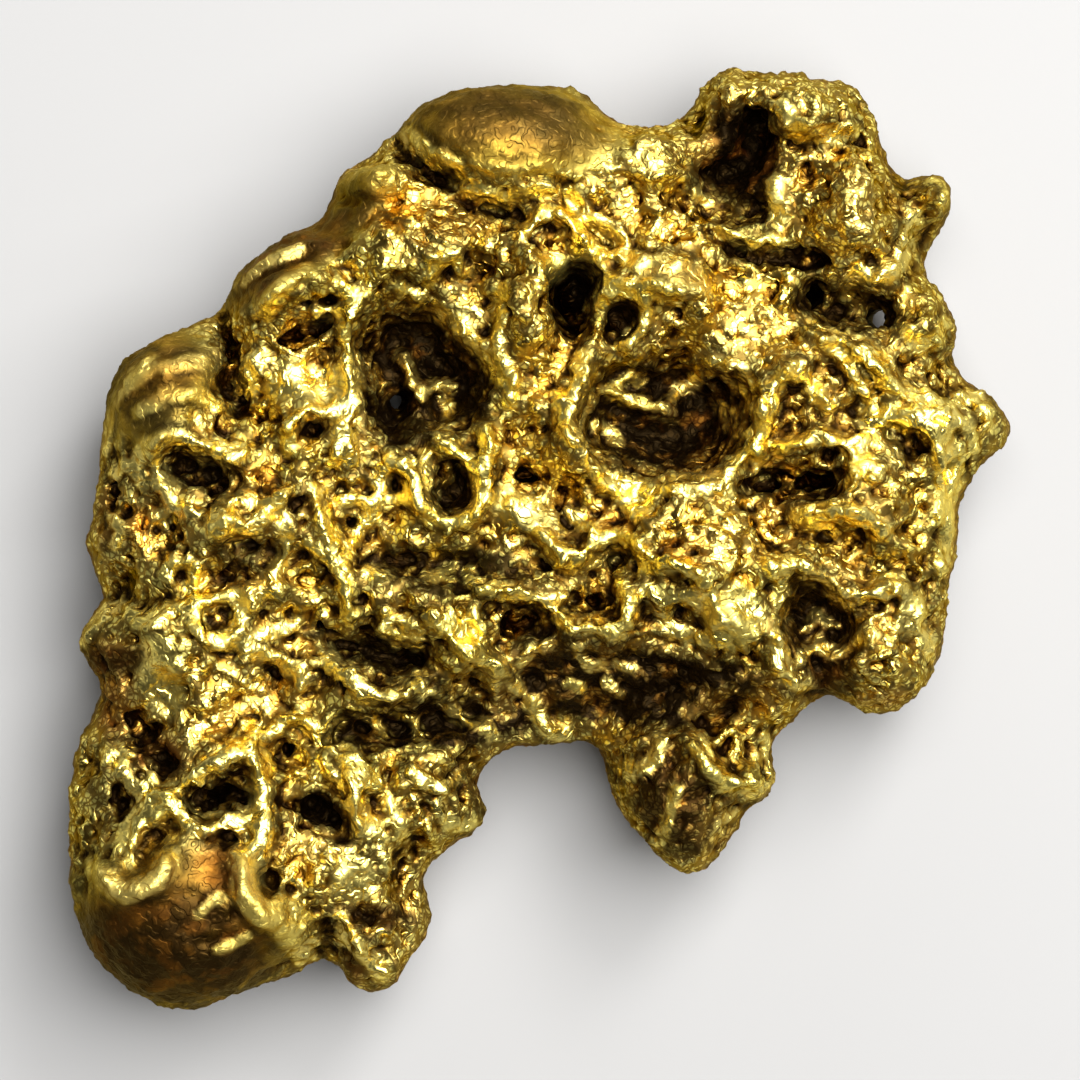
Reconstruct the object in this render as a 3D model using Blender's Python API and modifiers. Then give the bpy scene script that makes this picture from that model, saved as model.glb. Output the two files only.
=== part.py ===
"""A gold nugget: one piece of native gold, water-worn on its back and rims, pitted on its face.

It lies on its back on the plane z = 0, pitted face up, with its broad worn domes towards +Y and its
heavy smooth bulb towards -X, -Y. The origin is under the middle of its box. The tables below are in
millimetres and degrees; MM turns their lengths into Blender's metres.

The body is grown the way the real one looks: an irregular plate with rounded rims, masses fused to
it, hollows sunk in its face, ridges left standing between them, and small holes worn right through.
"""

import math

import bmesh
import bpy
import numpy as np
from mathutils import Matrix, Vector, kdtree, noise

MM = 0.001
NAME = "nugget"

# The plate that carries the masses.
PLATE_MIDDLE = 4.7  # height of its middle plane above the rest plane
PLATE_HALF = 3.9  # half its thickness
RIM_REACH = 3.0  # how far in from the outline its rounded rim reaches

# How finely each stage is fused, and how many triangles the solid keeps.
PLATE_VOXEL = 0.45
BODY_VOXEL = 0.28
TRIANGLES = 9500

# Lumpiness of the skin: size of the lumps and how far they stand, and the same for the crests that
# only the rough face has.
LUMP_SIZE = 2.4
LUMP_HEIGHT = 0.16
CREST_SIZE = 2.0
CREST_HEIGHT = 0.72
FINE_CREST_SIZE = 1.3
FINE_CREST_HEIGHT = 0.5
SWELL = 0.05  # how far the whole skin swells to make up for what fusing rounds off
SOFTEN_REPEATS = 2  # how often the edges that the relief leaves are eased

# Where the noise is read from for each sideways shift, far enough apart to be unlike.
FIRST_FIELD = (31.0, 17.0, 5.0)
SECOND_FIELD = (-23.0, 41.0, 67.0)

# How far apart the bends are that make a hollow's or ridge's edge look natural, and how far out of
# true they take it.
FACE_BENDS = (1.6, 0.32)
BACK_BENDS = (3.0, 0.6)

# A hollow's floor, as a share of its radii, and how far out its wall ends.
FACE_FLOOR = 0.55
BACK_FLOOR = 0.0
WALL_END = 1.08

# Shares of a worn patch's radii between which its smoothness fades out.
WORN_FADE = (0.7, 1.15)

# Broad waves of the back: how far apart and how high.
WAVE_SIZE = 5.5
WAVE_HEIGHT = 0.45

# Heights between which the relief of the face sets in, that of the back fades out, and the skin
# turns rough. The first two rise so slowly that no relief folds the skin over.
FACE_RISE = (2.2, 8.2)
BACK_RISE = (0.8, 4.6)
ROUGH_RISE = (4.0, 7.0)

# The outline from above, clockwise from the west lump; a smooth curve runs through the points.
OUTLINE = (
    # west lump
    (-17.4, 4.4), (-17.2, 5.6), (-16.3, 7.3), (-15.2, 8.0), (-13.8, 8.6), (-12.8, 9.0),
    # shoulder
    (-12.3, 10.2), (-11.7, 10.9), (-10.7, 11.6), (-9.6, 12.2), (-8.6, 12.8),
    # knob beside the crack
    (-8.2, 14.1), (-7.7, 14.8), (-6.7, 15.4),
    # north dome
    (-5.2, 16.8), (-4.0, 17.5), (-2.8, 18.0), (-1.6, 18.2), (0.8, 18.1), (2.0, 17.7), (2.7, 17.0),
    (4.3, 16.5), (5.9, 16.8),
    # north-east knob
    (6.5, 18.0), (7.2, 18.8), (8.8, 18.8), (11.2, 18.5), (12.2, 18.3), (12.9, 17.7), (13.6, 16.3),
    (13.9, 15.1), (14.6, 14.3),
    # ear
    (15.7, 14.8), (16.3, 14.6), (16.6, 13.4), (15.9, 12.2), (15.3, 11.2),
    # east knuckle and east point
    (15.9, 10.0), (16.7, 8.7), (16.7, 8.0), (16.4, 6.9), (17.8, 6.0), (18.5, 5.4), (18.9, 4.2),
    (18.0, 3.4), (17.0, 2.1),
    # east edge and south-east lump
    (16.7, 0.0), (16.3, -2.4), (16.0, -4.6), (15.2, -5.9), (14.2, -6.8), (13.5, -7.0), (12.8, -6.8),
    (11.5, -6.1), (10.9, -6.2), (10.2, -7.3),
    # spike
    (9.2, -7.8), (9.5, -9.2), (9.4, -10.0), (8.3, -10.6), (7.4, -11.6), (7.2, -12.7), (6.0, -13.3),
    (4.9, -12.6), (3.7, -11.3), (2.7, -9.7), (2.6, -8.2),
    # bay between the spike and the south mass
    (1.6, -7.9), (0.3, -8.3), (-1.3, -8.2), (-2.4, -9.0), (-2.7, -9.5), (-2.1, -11.2), (-3.0, -11.9),
    (-4.4, -12.4), (-4.9, -13.5),
    # toes
    (-4.3, -14.7), (-4.3, -15.3), (-5.1, -16.5), (-5.8, -17.8), (-7.0, -18.2), (-7.8, -17.2),
    (-8.4, -16.4),
    # bulb
    (-9.9, -17.4), (-12.0, -17.9), (-13.9, -18.8), (-15.7, -18.2), (-17.5, -16.6), (-18.6, -14.6),
    (-18.9, -12.4), (-18.7, -10.2), (-18.5, -8.3), (-17.7, -6.8), (-17.6, -5.4),
    # west point
    (-18.5, -4.3), (-18.5, -3.8), (-17.5, -2.6),
    # west flank
    (-17.4, -1.7), (-18.2, -0.3), (-17.8, 1.2), (-17.5, 3.2),
)

# Masses fused to the plate: centre x, y, z, radii along, across and up, and turn. It lies on those
# that reach below the rest plane, where they are worn flat.
MASSES = {
    "north dome": (-1.3, 15.5, 4.9, 4.3, 2.7, 5.2, -5),
    "north neck": (4.4, 14.7, 5.2, 3.0, 1.9, 4.0, 8),
    "north-east knob": (10.4, 16.6, 5.9, 3.0, 2.0, 4.8, -12),
    "north-east brow": (7.7, 17.4, 5.4, 1.5, 1.3, 4.0, 20),
    "east shoulder": (12.2, 13.0, 5.9, 2.8, 2.7, 4.8, -35),
    "ear": (15.6, 13.5, 6.0, 1.0, 1.2, 2.4, 0),
    "east knuckle": (15.4, 8.5, 5.4, 1.2, 1.8, 3.5, 10),
    "east point": (17.4, 4.6, 4.9, 1.4, 1.2, 2.5, -20),
    "east field": (12.6, 1.4, 4.7, 4.1, 4.6, 5.0, 0),
    "south-east lump": (13.4, -4.4, 4.8, 2.4, 2.4, 4.4, 0),
    "heart": (6.4, -0.6, 5.2, 4.8, 3.8, 5.5, -15),
    "heart corner": (7.6, -3.3, 6.4, 2.2, 1.4, 4.3, -10),
    "column": (-0.4, 9.6, 6.6, 1.5, 3.4, 4.4, 5),
    "middle bridge": (1.0, 4.0, 6.2, 2.0, 2.8, 4.1, 20),
    "north-east bridge": (5.2, 10.4, 5.8, 3.4, 1.9, 4.3, -18),
    "east bridge": (9.4, 6.4, 5.4, 2.4, 2.8, 4.4, 0),
    "brow": (-4.6, 11.4, 5.4, 4.0, 2.3, 5.1, 14),
    "shoulder": (-9.6, 9.9, 5.0, 3.1, 2.1, 4.7, 40),
    "crack knob": (-6.3, 14.1, 5.2, 1.7, 1.2, 4.4, 35),
    "west lump": (-14.0, 5.2, 4.9, 3.1, 3.0, 4.7, 0),
    "west bridge": (-9.4, 4.4, 5.1, 2.4, 3.6, 4.8, 10),
    "west mass": (-11.4, 0.6, 4.8, 5.4, 3.9, 5.1, 5),
    "west flank": (-17.1, -0.2, 4.5, 1.0, 1.6, 2.7, 0),
    "west point": (-17.2, -4.0, 4.7, 1.3, 1.1, 2.5, 20),
    "lower west": (-14.2, -4.4, 5.0, 3.0, 2.9, 4.6, 0),
    "middle": (-4.4, -1.6, 4.9, 5.4, 3.5, 4.9, -5),
    "blade root": (-2.4, -4.6, 4.9, 2.6, 1.4, 4.3, -40),
    "saddle": (0.8, -6.0, 4.3, 2.6, 1.7, 3.2, 0),
    "south mass": (-7.0, -10.9, 4.7, 3.9, 3.0, 4.4, 10),
    "south finger": (-3.9, -10.9, 4.9, 1.5, 1.0, 2.8, -5),
    "bulb": (-13.9, -14.1, 4.9, 4.7, 4.4, 5.2, 0),
    "bulb shoulder": (-10.8, -13.6, 5.4, 2.6, 3.0, 4.4, 0),
    "west rough": (-17.1, -10.2, 4.5, 1.6, 3.1, 3.6, 0),
    "bulb neck": (-14.0, -9.0, 4.7, 3.0, 2.4, 4.0, 0),
    "big toe": (-6.7, -16.4, 4.7, 1.2, 1.7, 3.3, -15),
    "little toe": (-5.0, -15.1, 4.3, 0.6, 0.8, 2.1, -20),
    "spike": (5.6, -9.8, 4.5, 2.4, 3.1, 3.7, 18),
    "spike knob": (8.2, -9.2, 5.0, 1.1, 1.3, 3.1, 0),
    "belly": (0.2, 4.6, 3.7, 5.6, 4.4, 3.2, 25),
    "north belly": (6.6, 11.4, 4.0, 4.4, 2.8, 3.3, -15),
    "west belly": (-7.8, 9.2, 4.0, 3.8, 2.8, 3.4, 35),
    "south belly": (-8.4, -6.6, 3.8, 3.4, 3.0, 3.1, 0),
}

# Hollows in the face: centre x, y, radii along and across, turn, depth.
HOLLOWS = {
    # caverns and caves
    "west cavern": (-4.7, 6.8, 3.1, 2.1, -42, 3.3),
    "cavern corner": (-6.0, 5.2, 1.1, 1.2, 0, 3.0),
    "east cavern": (5.0, 5.0, 3.6, 2.6, 0, 3.4),
    "cave throat": (8.4, 15.9, 0.8, 1.4, 12, 3.2),
    "cave foot": (7.5, 14.8, 1.9, 0.9, 4, 3.4),
    "cave apron": (7.2, 13.3, 2.5, 0.9, -8, 1.6),
    "deep hole": (1.6, 9.8, 0.8, 1.7, -14, 3.4),
    "east valley": (12.4, 9.2, 2.6, 1.0, -5, 2.6),
    "south-east cave": (11.1, -3.4, 1.5, 2.0, 14, 2.6),
    "cave drain": (11.4, -5.3, 1.0, 0.6, 0, 1.2),
    # pits of the west half
    "west eye": (-13.6, 2.8, 1.9, 0.7, -8, 1.7),
    "west pit": (-11.4, -0.4, 1.4, 0.7, -6, 1.6),
    "small west pit": (-8.9, 4.1, 0.8, 0.9, 0, 1.2),
    "grey pit": (-9.3, 1.1, 0.6, 0.9, 0, 0.8),
    "round pit": (-7.6, 0.7, 0.6, 0.6, 0, 0.8),
    "oval pit": (-5.6, 2.4, 0.5, 0.8, 0, 0.9),
    "loop pit": (-3.3, 2.1, 0.7, 0.9, 20, 1.4),
    "brow pit": (-3.7, 10.4, 0.9, 0.5, 45, 1.0),
    "shoulder pocket": (-8.2, 9.2, 0.7, 0.5, 0, 0.9),
    "shoulder slot": (-9.1, 8.2, 1.1, 0.4, 15, 0.8),
    "flank pit": (-16.2, 2.6, 0.7, 0.5, 0, 0.7),
    # trenches and slopes of the middle
    "middle trench": (-4.2, -0.9, 3.2, 1.0, -8, 2.1),
    "trench end": (-0.6, -3.4, 1.4, 0.7, 5, 1.6),
    "wedge": (-0.6, 2.6, 0.8, 0.4, -25, 0.9),
    "middle gap": (1.2, 1.4, 0.5, 1.0, 35, 0.8),
    "lower slope": (1.6, -6.2, 6.6, 2.0, 4, 1.9),
    "lower trench": (-5.0, -7.3, 4.4, 0.8, 4, 2.9),
    "diagonal trench": (-6.4, -4.5, 2.9, 0.7, -12, 1.7),
    "speckled pit": (-10.4, -5.6, 0.8, 1.1, 0, 0.9),
    "south notch": (-10.1, -8.3, 0.9, 0.6, 0, 1.3),
    # heart
    "ring crater": (3.3, 8.7, 0.8, 0.7, 0, 1.1),
    "heart ring": (2.8, -0.7, 0.8, 0.7, 0, 0.9),
    "heart pit": (5.3, -1.4, 0.6, 0.5, 0, 0.7),
    "scallop": (2.3, -2.5, 1.0, 0.7, 0, 0.9),
    # east half
    "east oval": (12.0, -0.1, 1.6, 0.9, -10, 1.2),
    "east crease": (10.0, 2.3, 2.2, 0.6, 6, 1.3),
    "crease pit": (11.5, 3.4, 0.7, 0.5, 0, 0.8),
    "east dimple": (10.0, 5.6, 0.9, 0.8, 0, 0.9),
    "rim pocket": (14.4, 4.1, 1.3, 0.5, -28, 1.1),
    "blade gap": (12.0, 6.8, 1.5, 0.4, -45, 0.8),
    "edge pit": (15.1, 1.3, 0.6, 0.4, 0, 0.7),
    "edge slot": (15.6, -1.7, 0.7, 0.3, -15, 0.8),
    # south mass, bulb and spike
    "bulb hollow": (-12.7, -10.2, 1.5, 0.7, 3, 1.6),
    "under hollow": (-12.2, -11.8, 0.9, 0.5, 0, 0.8),
    "bulb dimple": (-15.4, -12.1, 0.7, 0.8, 0, 0.8),
    "bulb pit": (-10.6, -13.4, 0.7, 0.9, -15, 2.0),
    "south pit": (-8.6, -10.9, 1.6, 0.7, -35, 1.6),
    "west rough pit": (-16.6, -10.4, 0.7, 1.0, 0, 1.1),
    "west rough ring": (-15.8, -9.4, 0.6, 0.5, 0, 0.8),
    "toe band": (-6.9, -14.9, 1.5, 0.5, -5, 1.3),
    "spike shelf": (6.4, -7.1, 2.6, 0.7, 0, 1.7),
    "spike pit": (7.3, -8.4, 0.8, 0.7, 0, 1.0),
}

# Dents of the back, in the same form.
BACK_DENTS = {
    "long dent": (-5.6, 6.6, 4.6, 2.2, 35, 1.1),
    "east dent": (6.4, 7.6, 3.6, 2.4, -25, 1.3),
    "south dent": (1.2, -2.6, 3.4, 2.0, 10, 1.0),
    "west dent": (-10.2, -5.8, 3.6, 1.8, -15, 1.2),
    "bulb dent": (-9.4, -12.4, 1.6, 2.2, 0, 0.8),
    "north dent": (5.4, 14.4, 2.6, 1.4, 0, 0.9),
    "east pit": (11.4, 5.2, 1.1, 0.8, 30, 0.7),
    "middle pit": (2.2, 4.2, 1.3, 0.8, -60, 0.8),
    "heart pit": (9.6, -3.2, 1.0, 1.4, 15, 0.7),
    "west pit": (-14.8, 3.4, 1.0, 1.3, -20, 0.7),
    "brow pit": (-8.2, 11.2, 1.5, 0.8, 40, 0.7),
    "slope pit": (-4.4, -7.4, 1.5, 0.8, 10, 0.8),
    "bulb pit": (-15.8, -10.2, 1.2, 0.9, 60, 0.7),
    "spike pit": (5.6, -9.4, 0.8, 1.2, 10, 0.6),
    "knob pit": (10.2, 15.4, 1.2, 0.8, -20, 0.7),
}

# Creases where masses meet: half width, depth, and the points they run through.
CREASES = {
    "crack": (0.45, 1.4, ((-5.8, 15.9), (-5.1, 15.0), (-4.2, 14.4), (-3.0, 14.1))),
    "knob crease": (0.4, 1.1, ((-8.5, 13.7), (-7.0, 13.4), (-5.6, 13.0))),
    "shoulder crease": (0.5, 1.4, ((-12.7, 9.1), (-12.3, 7.6), (-12.4, 6.2), (-11.6, 5.4))),
    "rim crease": (0.4, 0.7, ((-11.8, 9.4), (-10.5, 10.6), (-9.0, 11.2))),
    "ear crease": (0.5, 1.5, ((14.5, 14.3), (14.6, 12.9), (15.4, 12.0))),
    "knob split": (0.35, 0.9, ((10.0, 15.6), (11.2, 15.6), (13.0, 15.8))),
    "north lip": (0.35, 0.7, ((-3.0, 13.1), (-1.2, 13.1), (0.6, 13.4), (2.0, 12.1))),
    "groove": (0.4, 0.9, ((6.8, 12.0), (8.2, 11.2), (9.6, 11.1), (11.2, 11.0))),
    "bulb crease": (0.6, 1.3, ((-17.2, -6.6), (-15.6, -7.6), (-14.6, -8.8))),
    "west crease": (0.4, 0.9, ((-17.2, -2.2), (-15.2, -2.3), (-13.4, -1.8), (-11.0, -1.6))),
}

# Ridges left standing: half width, height, and the points they run through.
RIDGES = {
    # round the caverns
    "cavern wall": (0.5, 1.0, ((-7.5, 8.6), (-7.5, 5.6), (-7.4, 3.4))),
    "cavern step": (0.4, 1.5, ((-5.4, 7.4), (-5.1, 6.2), (-4.7, 5.7), (-4.2, 6.2), (-3.3, 6.1))),
    "column strand": (0.4, 1.0, ((2.0, 7.6), (1.5, 6.0), (1.1, 4.4), (1.9, 3.5), (2.6, 2.1))),
    "column edge": (0.4, 0.9, ((-1.5, 9.8), (-1.7, 8.3), (-1.6, 7.0), (-1.0, 6.0))),
    "arch": (0.4, 1.0, ((-0.7, 12.1), (0.2, 12.9), (1.2, 12.7), (1.9, 11.8))),
    "cavern shelf": (0.4, 1.5, ((3.0, 5.8), (4.0, 5.5), (5.2, 5.1))),
    "east cavern rim": (0.5, 1.0, ((6.8, 7.0), (7.6, 6.7), (8.5, 5.5), (8.9, 4.5), (8.4, 3.6), (7.2, 2.5))),
    "cavern sill": (0.4, 0.9, ((7.2, 2.5), (6.0, 2.3), (4.8, 1.9), (4.3, 1.2))),
    "bridge ridge": (0.5, 1.0, ((2.2, 11.0), (2.6, 10.1), (4.0, 9.9), (5.5, 9.5), (6.6, 8.6))),
    "crater ring": (0.35, 0.7, ((2.1, 9.2), (2.7, 9.8), (3.8, 9.7), (4.3, 8.8), (3.6, 7.8))),
    "rough crest": (0.5, 1.0, ((-11.2, 8.6), (-10.0, 10.0), (-8.8, 10.4), (-7.2, 9.4), (-5.6, 9.9))),
    # loops of the middle
    "loop": (0.4, 1.2, ((-5.9, 3.3), (-5.1, 2.8), (-4.8, 1.5), (-4.1, 0.9), (-3.0, 0.8), (-2.3, 1.5),
                        (-2.1, 3.0), (-2.2, 4.3))),
    "loop branch": (0.35, 1.0, ((-3.9, 4.3), (-3.3, 3.6), (-2.4, 2.8))),
    "beak": (0.45, 1.0, ((-1.0, 1.4), (0.2, 0.5), (0.7, -0.4), (1.4, -0.9))),
    "heart crest": (0.5, 0.9, ((2.1, -0.3), (2.9, 0.2), (4.0, -0.5), (5.3, -0.9), (6.3, -1.3), (6.8, -2.6))),
    "trench shelf": (0.4, 1.2, ((-2.8, -1.4), (-2.0, -2.0), (-0.8, -2.1), (0.4, -2.5))),
    "scalloped edge": (0.4, 1.2, ((0.7, -3.0), (1.6, -3.5), (2.2, -3.3), (2.9, -3.8), (3.5, -3.0),
                                  (3.3, -2.0))),
    "flat blade": (0.55, 1.4, ((-4.4, -3.0), (-2.8, -4.6), (-1.1, -5.8))),
    "lower strand": (0.4, 1.2, ((-7.6, -5.2), (-6.7, -6.2), (-5.4, -6.1), (-4.6, -5.6))),
    "spine": (0.45, 1.0, ((-10.0, 2.0), (-8.6, 1.6), (-8.3, 0.0), (-7.8, -1.6), (-7.4, -3.2))),
    "pit wall": (0.4, 0.9, ((-12.9, 0.2), (-12.3, 0.9), (-11.4, 0.6), (-10.2, 1.7))),
    "west brow": (0.5, 1.2, ((-15.8, 3.3), (-14.6, 3.9), (-13.2, 3.5), (-12.2, 3.2), (-11.4, 3.6))),
    "west ledge": (0.45, 1.0, ((-15.6, -3.4), (-14.2, -2.8), (-12.6, -2.2), (-10.0, -2.0))),
    "west hook": (0.4, 0.9, ((-13.4, -2.4), (-13.3, -3.4), (-12.6, -4.2), (-11.8, -3.4), (-11.4, -2.4))),
    # blades and rims of the east
    "north blade": (0.45, 1.2, ((11.0, 8.2), (12.2, 7.4), (13.5, 6.6), (14.2, 5.8), (16.2, 4.9))),
    "south blade": (0.45, 1.2, ((10.2, 7.8), (11.4, 7.1), (12.9, 5.7))),
    "short blade": (0.4, 0.9, ((9.8, 6.9), (10.8, 6.0), (11.5, 5.2))),
    "east rim": (0.5, 1.0, ((13.0, 4.9), (14.8, 4.8), (15.9, 4.0), (16.4, 2.6), (16.3, 0.6), (16.0, -1.2))),
    "crease arch": (0.4, 0.9, ((9.4, 3.7), (10.6, 3.9), (11.6, 4.1), (12.2, 3.4), (12.2, 2.4))),
    "oval arch": (0.45, 0.9, ((10.1, 1.0), (11.2, 1.3), (12.6, 1.1), (13.6, 0.3))),
    "cave sill": (0.45, 1.2, ((9.9, -0.9), (10.8, -1.4), (12.2, -2.3), (13.1, -2.1), (14.2, -1.9))),
    "cave rim": (0.45, 1.0, ((9.4, -1.2), (9.5, -3.6), (9.4, -5.0), (10.2, -5.8))),
    "cave wave": (0.35, 1.2, ((10.9, -3.9), (11.5, -4.4), (12.1, -4.2), (12.9, -3.7))),
    # bulb, south mass, toes and spike
    "bulb arch": (0.5, 1.3, ((-13.4, -9.3), (-12.4, -8.4), (-11.3, -8.1), (-10.9, -9.6), (-10.9, -11.6))),
    "bulb ledge": (0.45, 1.0, ((-15.2, -11.0), (-14.4, -10.2), (-13.4, -11.2), (-12.2, -10.9),
                               (-11.2, -11.3))),
    "bulb under lip": (0.5, 1.2, ((-17.6, -13.0), (-16.4, -13.9), (-15.2, -13.6), (-14.5, -12.5))),
    "bulb strand": (0.4, 0.9, ((-16.4, -12.4), (-16.2, -11.0), (-15.4, -10.1), (-14.0, -9.4))),
    "pit rim": (0.55, 1.3, ((-11.6, -12.2), (-11.7, -13.6), (-10.9, -14.9), (-9.6, -15.2), (-9.3, -16.4))),
    "mass blade": (0.4, 1.0, ((-8.4, -8.6), (-7.5, -9.4), (-7.2, -11.2))),
    "finger ridge": (0.35, 0.7, ((-5.2, -9.2), (-4.4, -9.7), (-3.4, -9.9))),
    "toe ridge": (0.4, 1.0, ((-7.9, -15.2), (-7.3, -16.1), (-6.3, -17.0))),
    "spike band": (0.4, 1.2, ((6.2, -8.0), (6.8, -9.1), (7.6, -9.8), (9.0, -9.8))),
}

# Skin worn smooth: centre x, y, radii along and across, turn.
WORN = {
    "bulb": (-14.2, -14.8, 4.6, 4.2, 0),
    "north dome": (-1.2, 15.8, 5.2, 2.8, -5),
    "shoulder": (-8.6, 12.0, 5.2, 2.0, 35),
    "west lump": (-15.6, 6.2, 3.2, 2.6, 45),
    "spike": (5.4, -11.2, 2.2, 2.4, 0),
}

# Holes worn through: centre x, y, radius, and how far the lower end leans along x.
HOLES = {
    "valley hole": (10.7, 9.8, 0.55, 0.6),
    "east hole": (13.5, 8.9, 0.55, -0.6),
    "cavern hole": (-5.6, 5.6, 0.50, 0.7),
}
HOLE_HALF_LENGTH = 8.0
HOLE_SIDES = 10

# Mesh resolution of the balls that the masses are made of, and the gap under which points merge.
BALL_DIVISIONS = 4
MERGE_GAP = 0.01


def clear_scene():
    """Remove every object that the file opened with."""
    for item in list(bpy.data.objects):
        bpy.data.objects.remove(item, do_unlink=True)


def make_collection(name):
    """Return a new collection linked to the scene."""
    collection = bpy.data.collections.new(name)
    bpy.context.scene.collection.children.link(collection)
    return collection


def add_object(name, data, collection):
    """Link new object data under a name."""
    item = bpy.data.objects.new(name, data)
    collection.objects.link(item)
    return item


def gold_material():
    """Raw gold, a little dull from wear."""
    material = bpy.data.materials.new("raw gold")
    material.use_nodes = True
    shader = material.node_tree.nodes["Principled BSDF"]
    shader.inputs["Base Color"].default_value = (0.72, 0.47, 0.10, 1.0)
    shader.inputs["Metallic"].default_value = 1.0
    shader.inputs["Roughness"].default_value = 0.34
    return material


def apply_modifiers(item):
    """Replace an object's mesh by its evaluated one and drop the modifiers."""
    graph = bpy.context.evaluated_depsgraph_get()
    mesh = bpy.data.meshes.new_from_object(item.evaluated_get(graph))
    item.modifiers.clear()
    item.data = mesh


def fuse(item, voxel):
    """Fuse everything in a mesh to one skin of even faces."""
    remesh = item.modifiers.new("Fuse", "REMESH")
    remesh.mode = "VOXEL"
    remesh.voxel_size = voxel * MM
    apply_modifiers(item)


def soften(item, repeats):
    """Take the points and edges off that relief leaves too sharp."""
    smooth = item.modifiers.new("Soften", "SMOOTH")
    smooth.factor = 0.5
    smooth.iterations = repeats
    apply_modifiers(item)


def read_points(mesh):
    """Return a mesh's points and their normals in millimetres."""
    count = len(mesh.vertices)
    points = np.empty(count * 3, dtype=np.float32)
    normals = np.empty(count * 3, dtype=np.float32)
    mesh.vertices.foreach_get("co", points)
    mesh.vertex_normals.foreach_get("vector", normals)
    return points.reshape(-1, 3).astype(float) / MM, normals.reshape(-1, 3).astype(float)


def write_points(mesh, points):
    """Write points given in millimetres back to a mesh."""
    mesh.vertices.foreach_set("co", (points * MM).astype(np.float32).ravel())
    mesh.update()


def smooth_step(low, high, value):
    """Rise smoothly from 0 at low to 1 at high."""
    t = np.clip((value - low) / (high - low), 0.0, 1.0)
    return t * t * (3.0 - 2.0 * t)


def outline_curve(collection):
    """The outline as a filled 2D curve, extruded to the plate's thickness."""
    curve = bpy.data.curves.new("plate outline", "CURVE")
    curve.dimensions = "2D"
    curve.fill_mode = "BOTH"
    curve.extrude = PLATE_HALF * MM
    curve.resolution_u = 4
    spline = curve.splines.new("BEZIER")
    spline.bezier_points.add(len(OUTLINE) - 1)
    for knot, (x, y) in zip(spline.bezier_points, OUTLINE):
        knot.co = (x * MM, y * MM, 0.0)
        knot.handle_left_type = "AUTO"
        knot.handle_right_type = "AUTO"
    spline.use_cyclic_u = True
    item = add_object("plate outline", curve, collection)
    item.location.z = PLATE_MIDDLE * MM
    return item


def curve_to_mesh(item, name, collection):
    """Turn a curve object into a closed mesh object and remove the curve."""
    bpy.context.view_layer.update()
    graph = bpy.context.evaluated_depsgraph_get()
    mesh = bpy.data.meshes.new_from_object(item.evaluated_get(graph))
    bm = bmesh.new()
    bm.from_mesh(mesh)
    bm.transform(item.matrix_world)
    bmesh.ops.remove_doubles(bm, verts=bm.verts, dist=MERGE_GAP * MM)
    bmesh.ops.recalc_face_normals(bm, faces=bm.faces)
    bm.to_mesh(mesh)
    bm.free()
    bpy.data.objects.remove(item, do_unlink=True)
    return add_object(name, mesh, collection)


def rim_distance(points, edge):
    """Distance of each point from the nearest edge point, seen from above."""
    tree = kdtree.KDTree(len(edge))
    for index, (x, y) in enumerate(edge):
        tree.insert((x, y, 0.0), index)
    tree.balance()
    return np.array([tree.find((x, y, 0.0))[2] for x, y in points[:, :2]])


def round_rim(item, edge):
    """Round the plate's rim off to a half circle, from the outline inwards."""
    points, _ = read_points(item.data)
    inset = np.clip(rim_distance(points, edge) / RIM_REACH, 0.0, 1.0)
    roundness = np.sqrt(1.0 - (1.0 - inset) ** 2)
    points[:, 2] = PLATE_MIDDLE + (points[:, 2] - PLATE_MIDDLE) * roundness
    write_points(item.data, points)


def make_plate(collection):
    """The irregular plate, with its rim rounded."""
    plate = curve_to_mesh(outline_curve(collection), NAME, collection)
    corners, _ = read_points(plate.data)
    edge = dense_edge(corners)
    fuse(plate, PLATE_VOXEL)
    round_rim(plate, edge)
    return plate


def dense_edge(corners):
    """The outline's corner points, seen from above, each once."""
    return np.unique(np.round(corners[:, :2], 3), axis=0)


def add_ball(bm, centre, radii, turn):
    """Add one ellipsoid to a mesh under construction."""
    place = Matrix.Translation(Vector(centre) * MM)
    spin = Matrix.Rotation(math.radians(turn), 4, "Z")
    size = Matrix.Diagonal((radii[0] * MM, radii[1] * MM, radii[2] * MM, 1.0))
    bmesh.ops.create_icosphere(bm, subdivisions=BALL_DIVISIONS, radius=1.0, matrix=place @ spin @ size)


def add_masses(item):
    """Join the masses to the plate and fuse them."""
    bm = bmesh.new()
    bm.from_mesh(item.data)
    for x, y, z, along, across, up, turn in MASSES.values():
        add_ball(bm, (x, y, z), (along, across, up), turn)
    bm.to_mesh(item.data)
    bm.free()
    fuse(item, BODY_VOXEL)


def ellipse_reach(points, x, y, along, across, turn):
    """How far each point lies from an ellipse's centre: 0 there, 1 on the ellipse."""
    angle = math.radians(turn)
    dx = points[:, 0] - x
    dy = points[:, 1] - y
    u = dx * math.cos(angle) + dy * math.sin(angle)
    v = dy * math.cos(angle) - dx * math.sin(angle)
    return np.sqrt((u / along) ** 2 + (v / across) ** 2)


def bowl(points, hollow, floor):
    """Depth of one hollow at each point; its floor reaches out to the given share of its radii."""
    x, y, along, across, turn, depth = hollow
    reach = ellipse_reach(points, x, y, along, across, turn)
    return depth * (1.0 - smooth_step(floor, WALL_END, reach))


def path_distance(points, path):
    """Distance of each point from a broken line, seen from above."""
    nearest = np.full(len(points), np.inf)
    for (ax, ay), (bx, by) in zip(path, path[1:]):
        length = (bx - ax) ** 2 + (by - ay) ** 2
        t = ((points[:, 0] - ax) * (bx - ax) + (points[:, 1] - ay) * (by - ay)) / length
        t = np.clip(t, 0.0, 1.0)
        gap = np.hypot(points[:, 0] - ax - t * (bx - ax), points[:, 1] - ay - t * (by - ay))
        nearest = np.minimum(nearest, gap)
    return nearest


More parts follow.
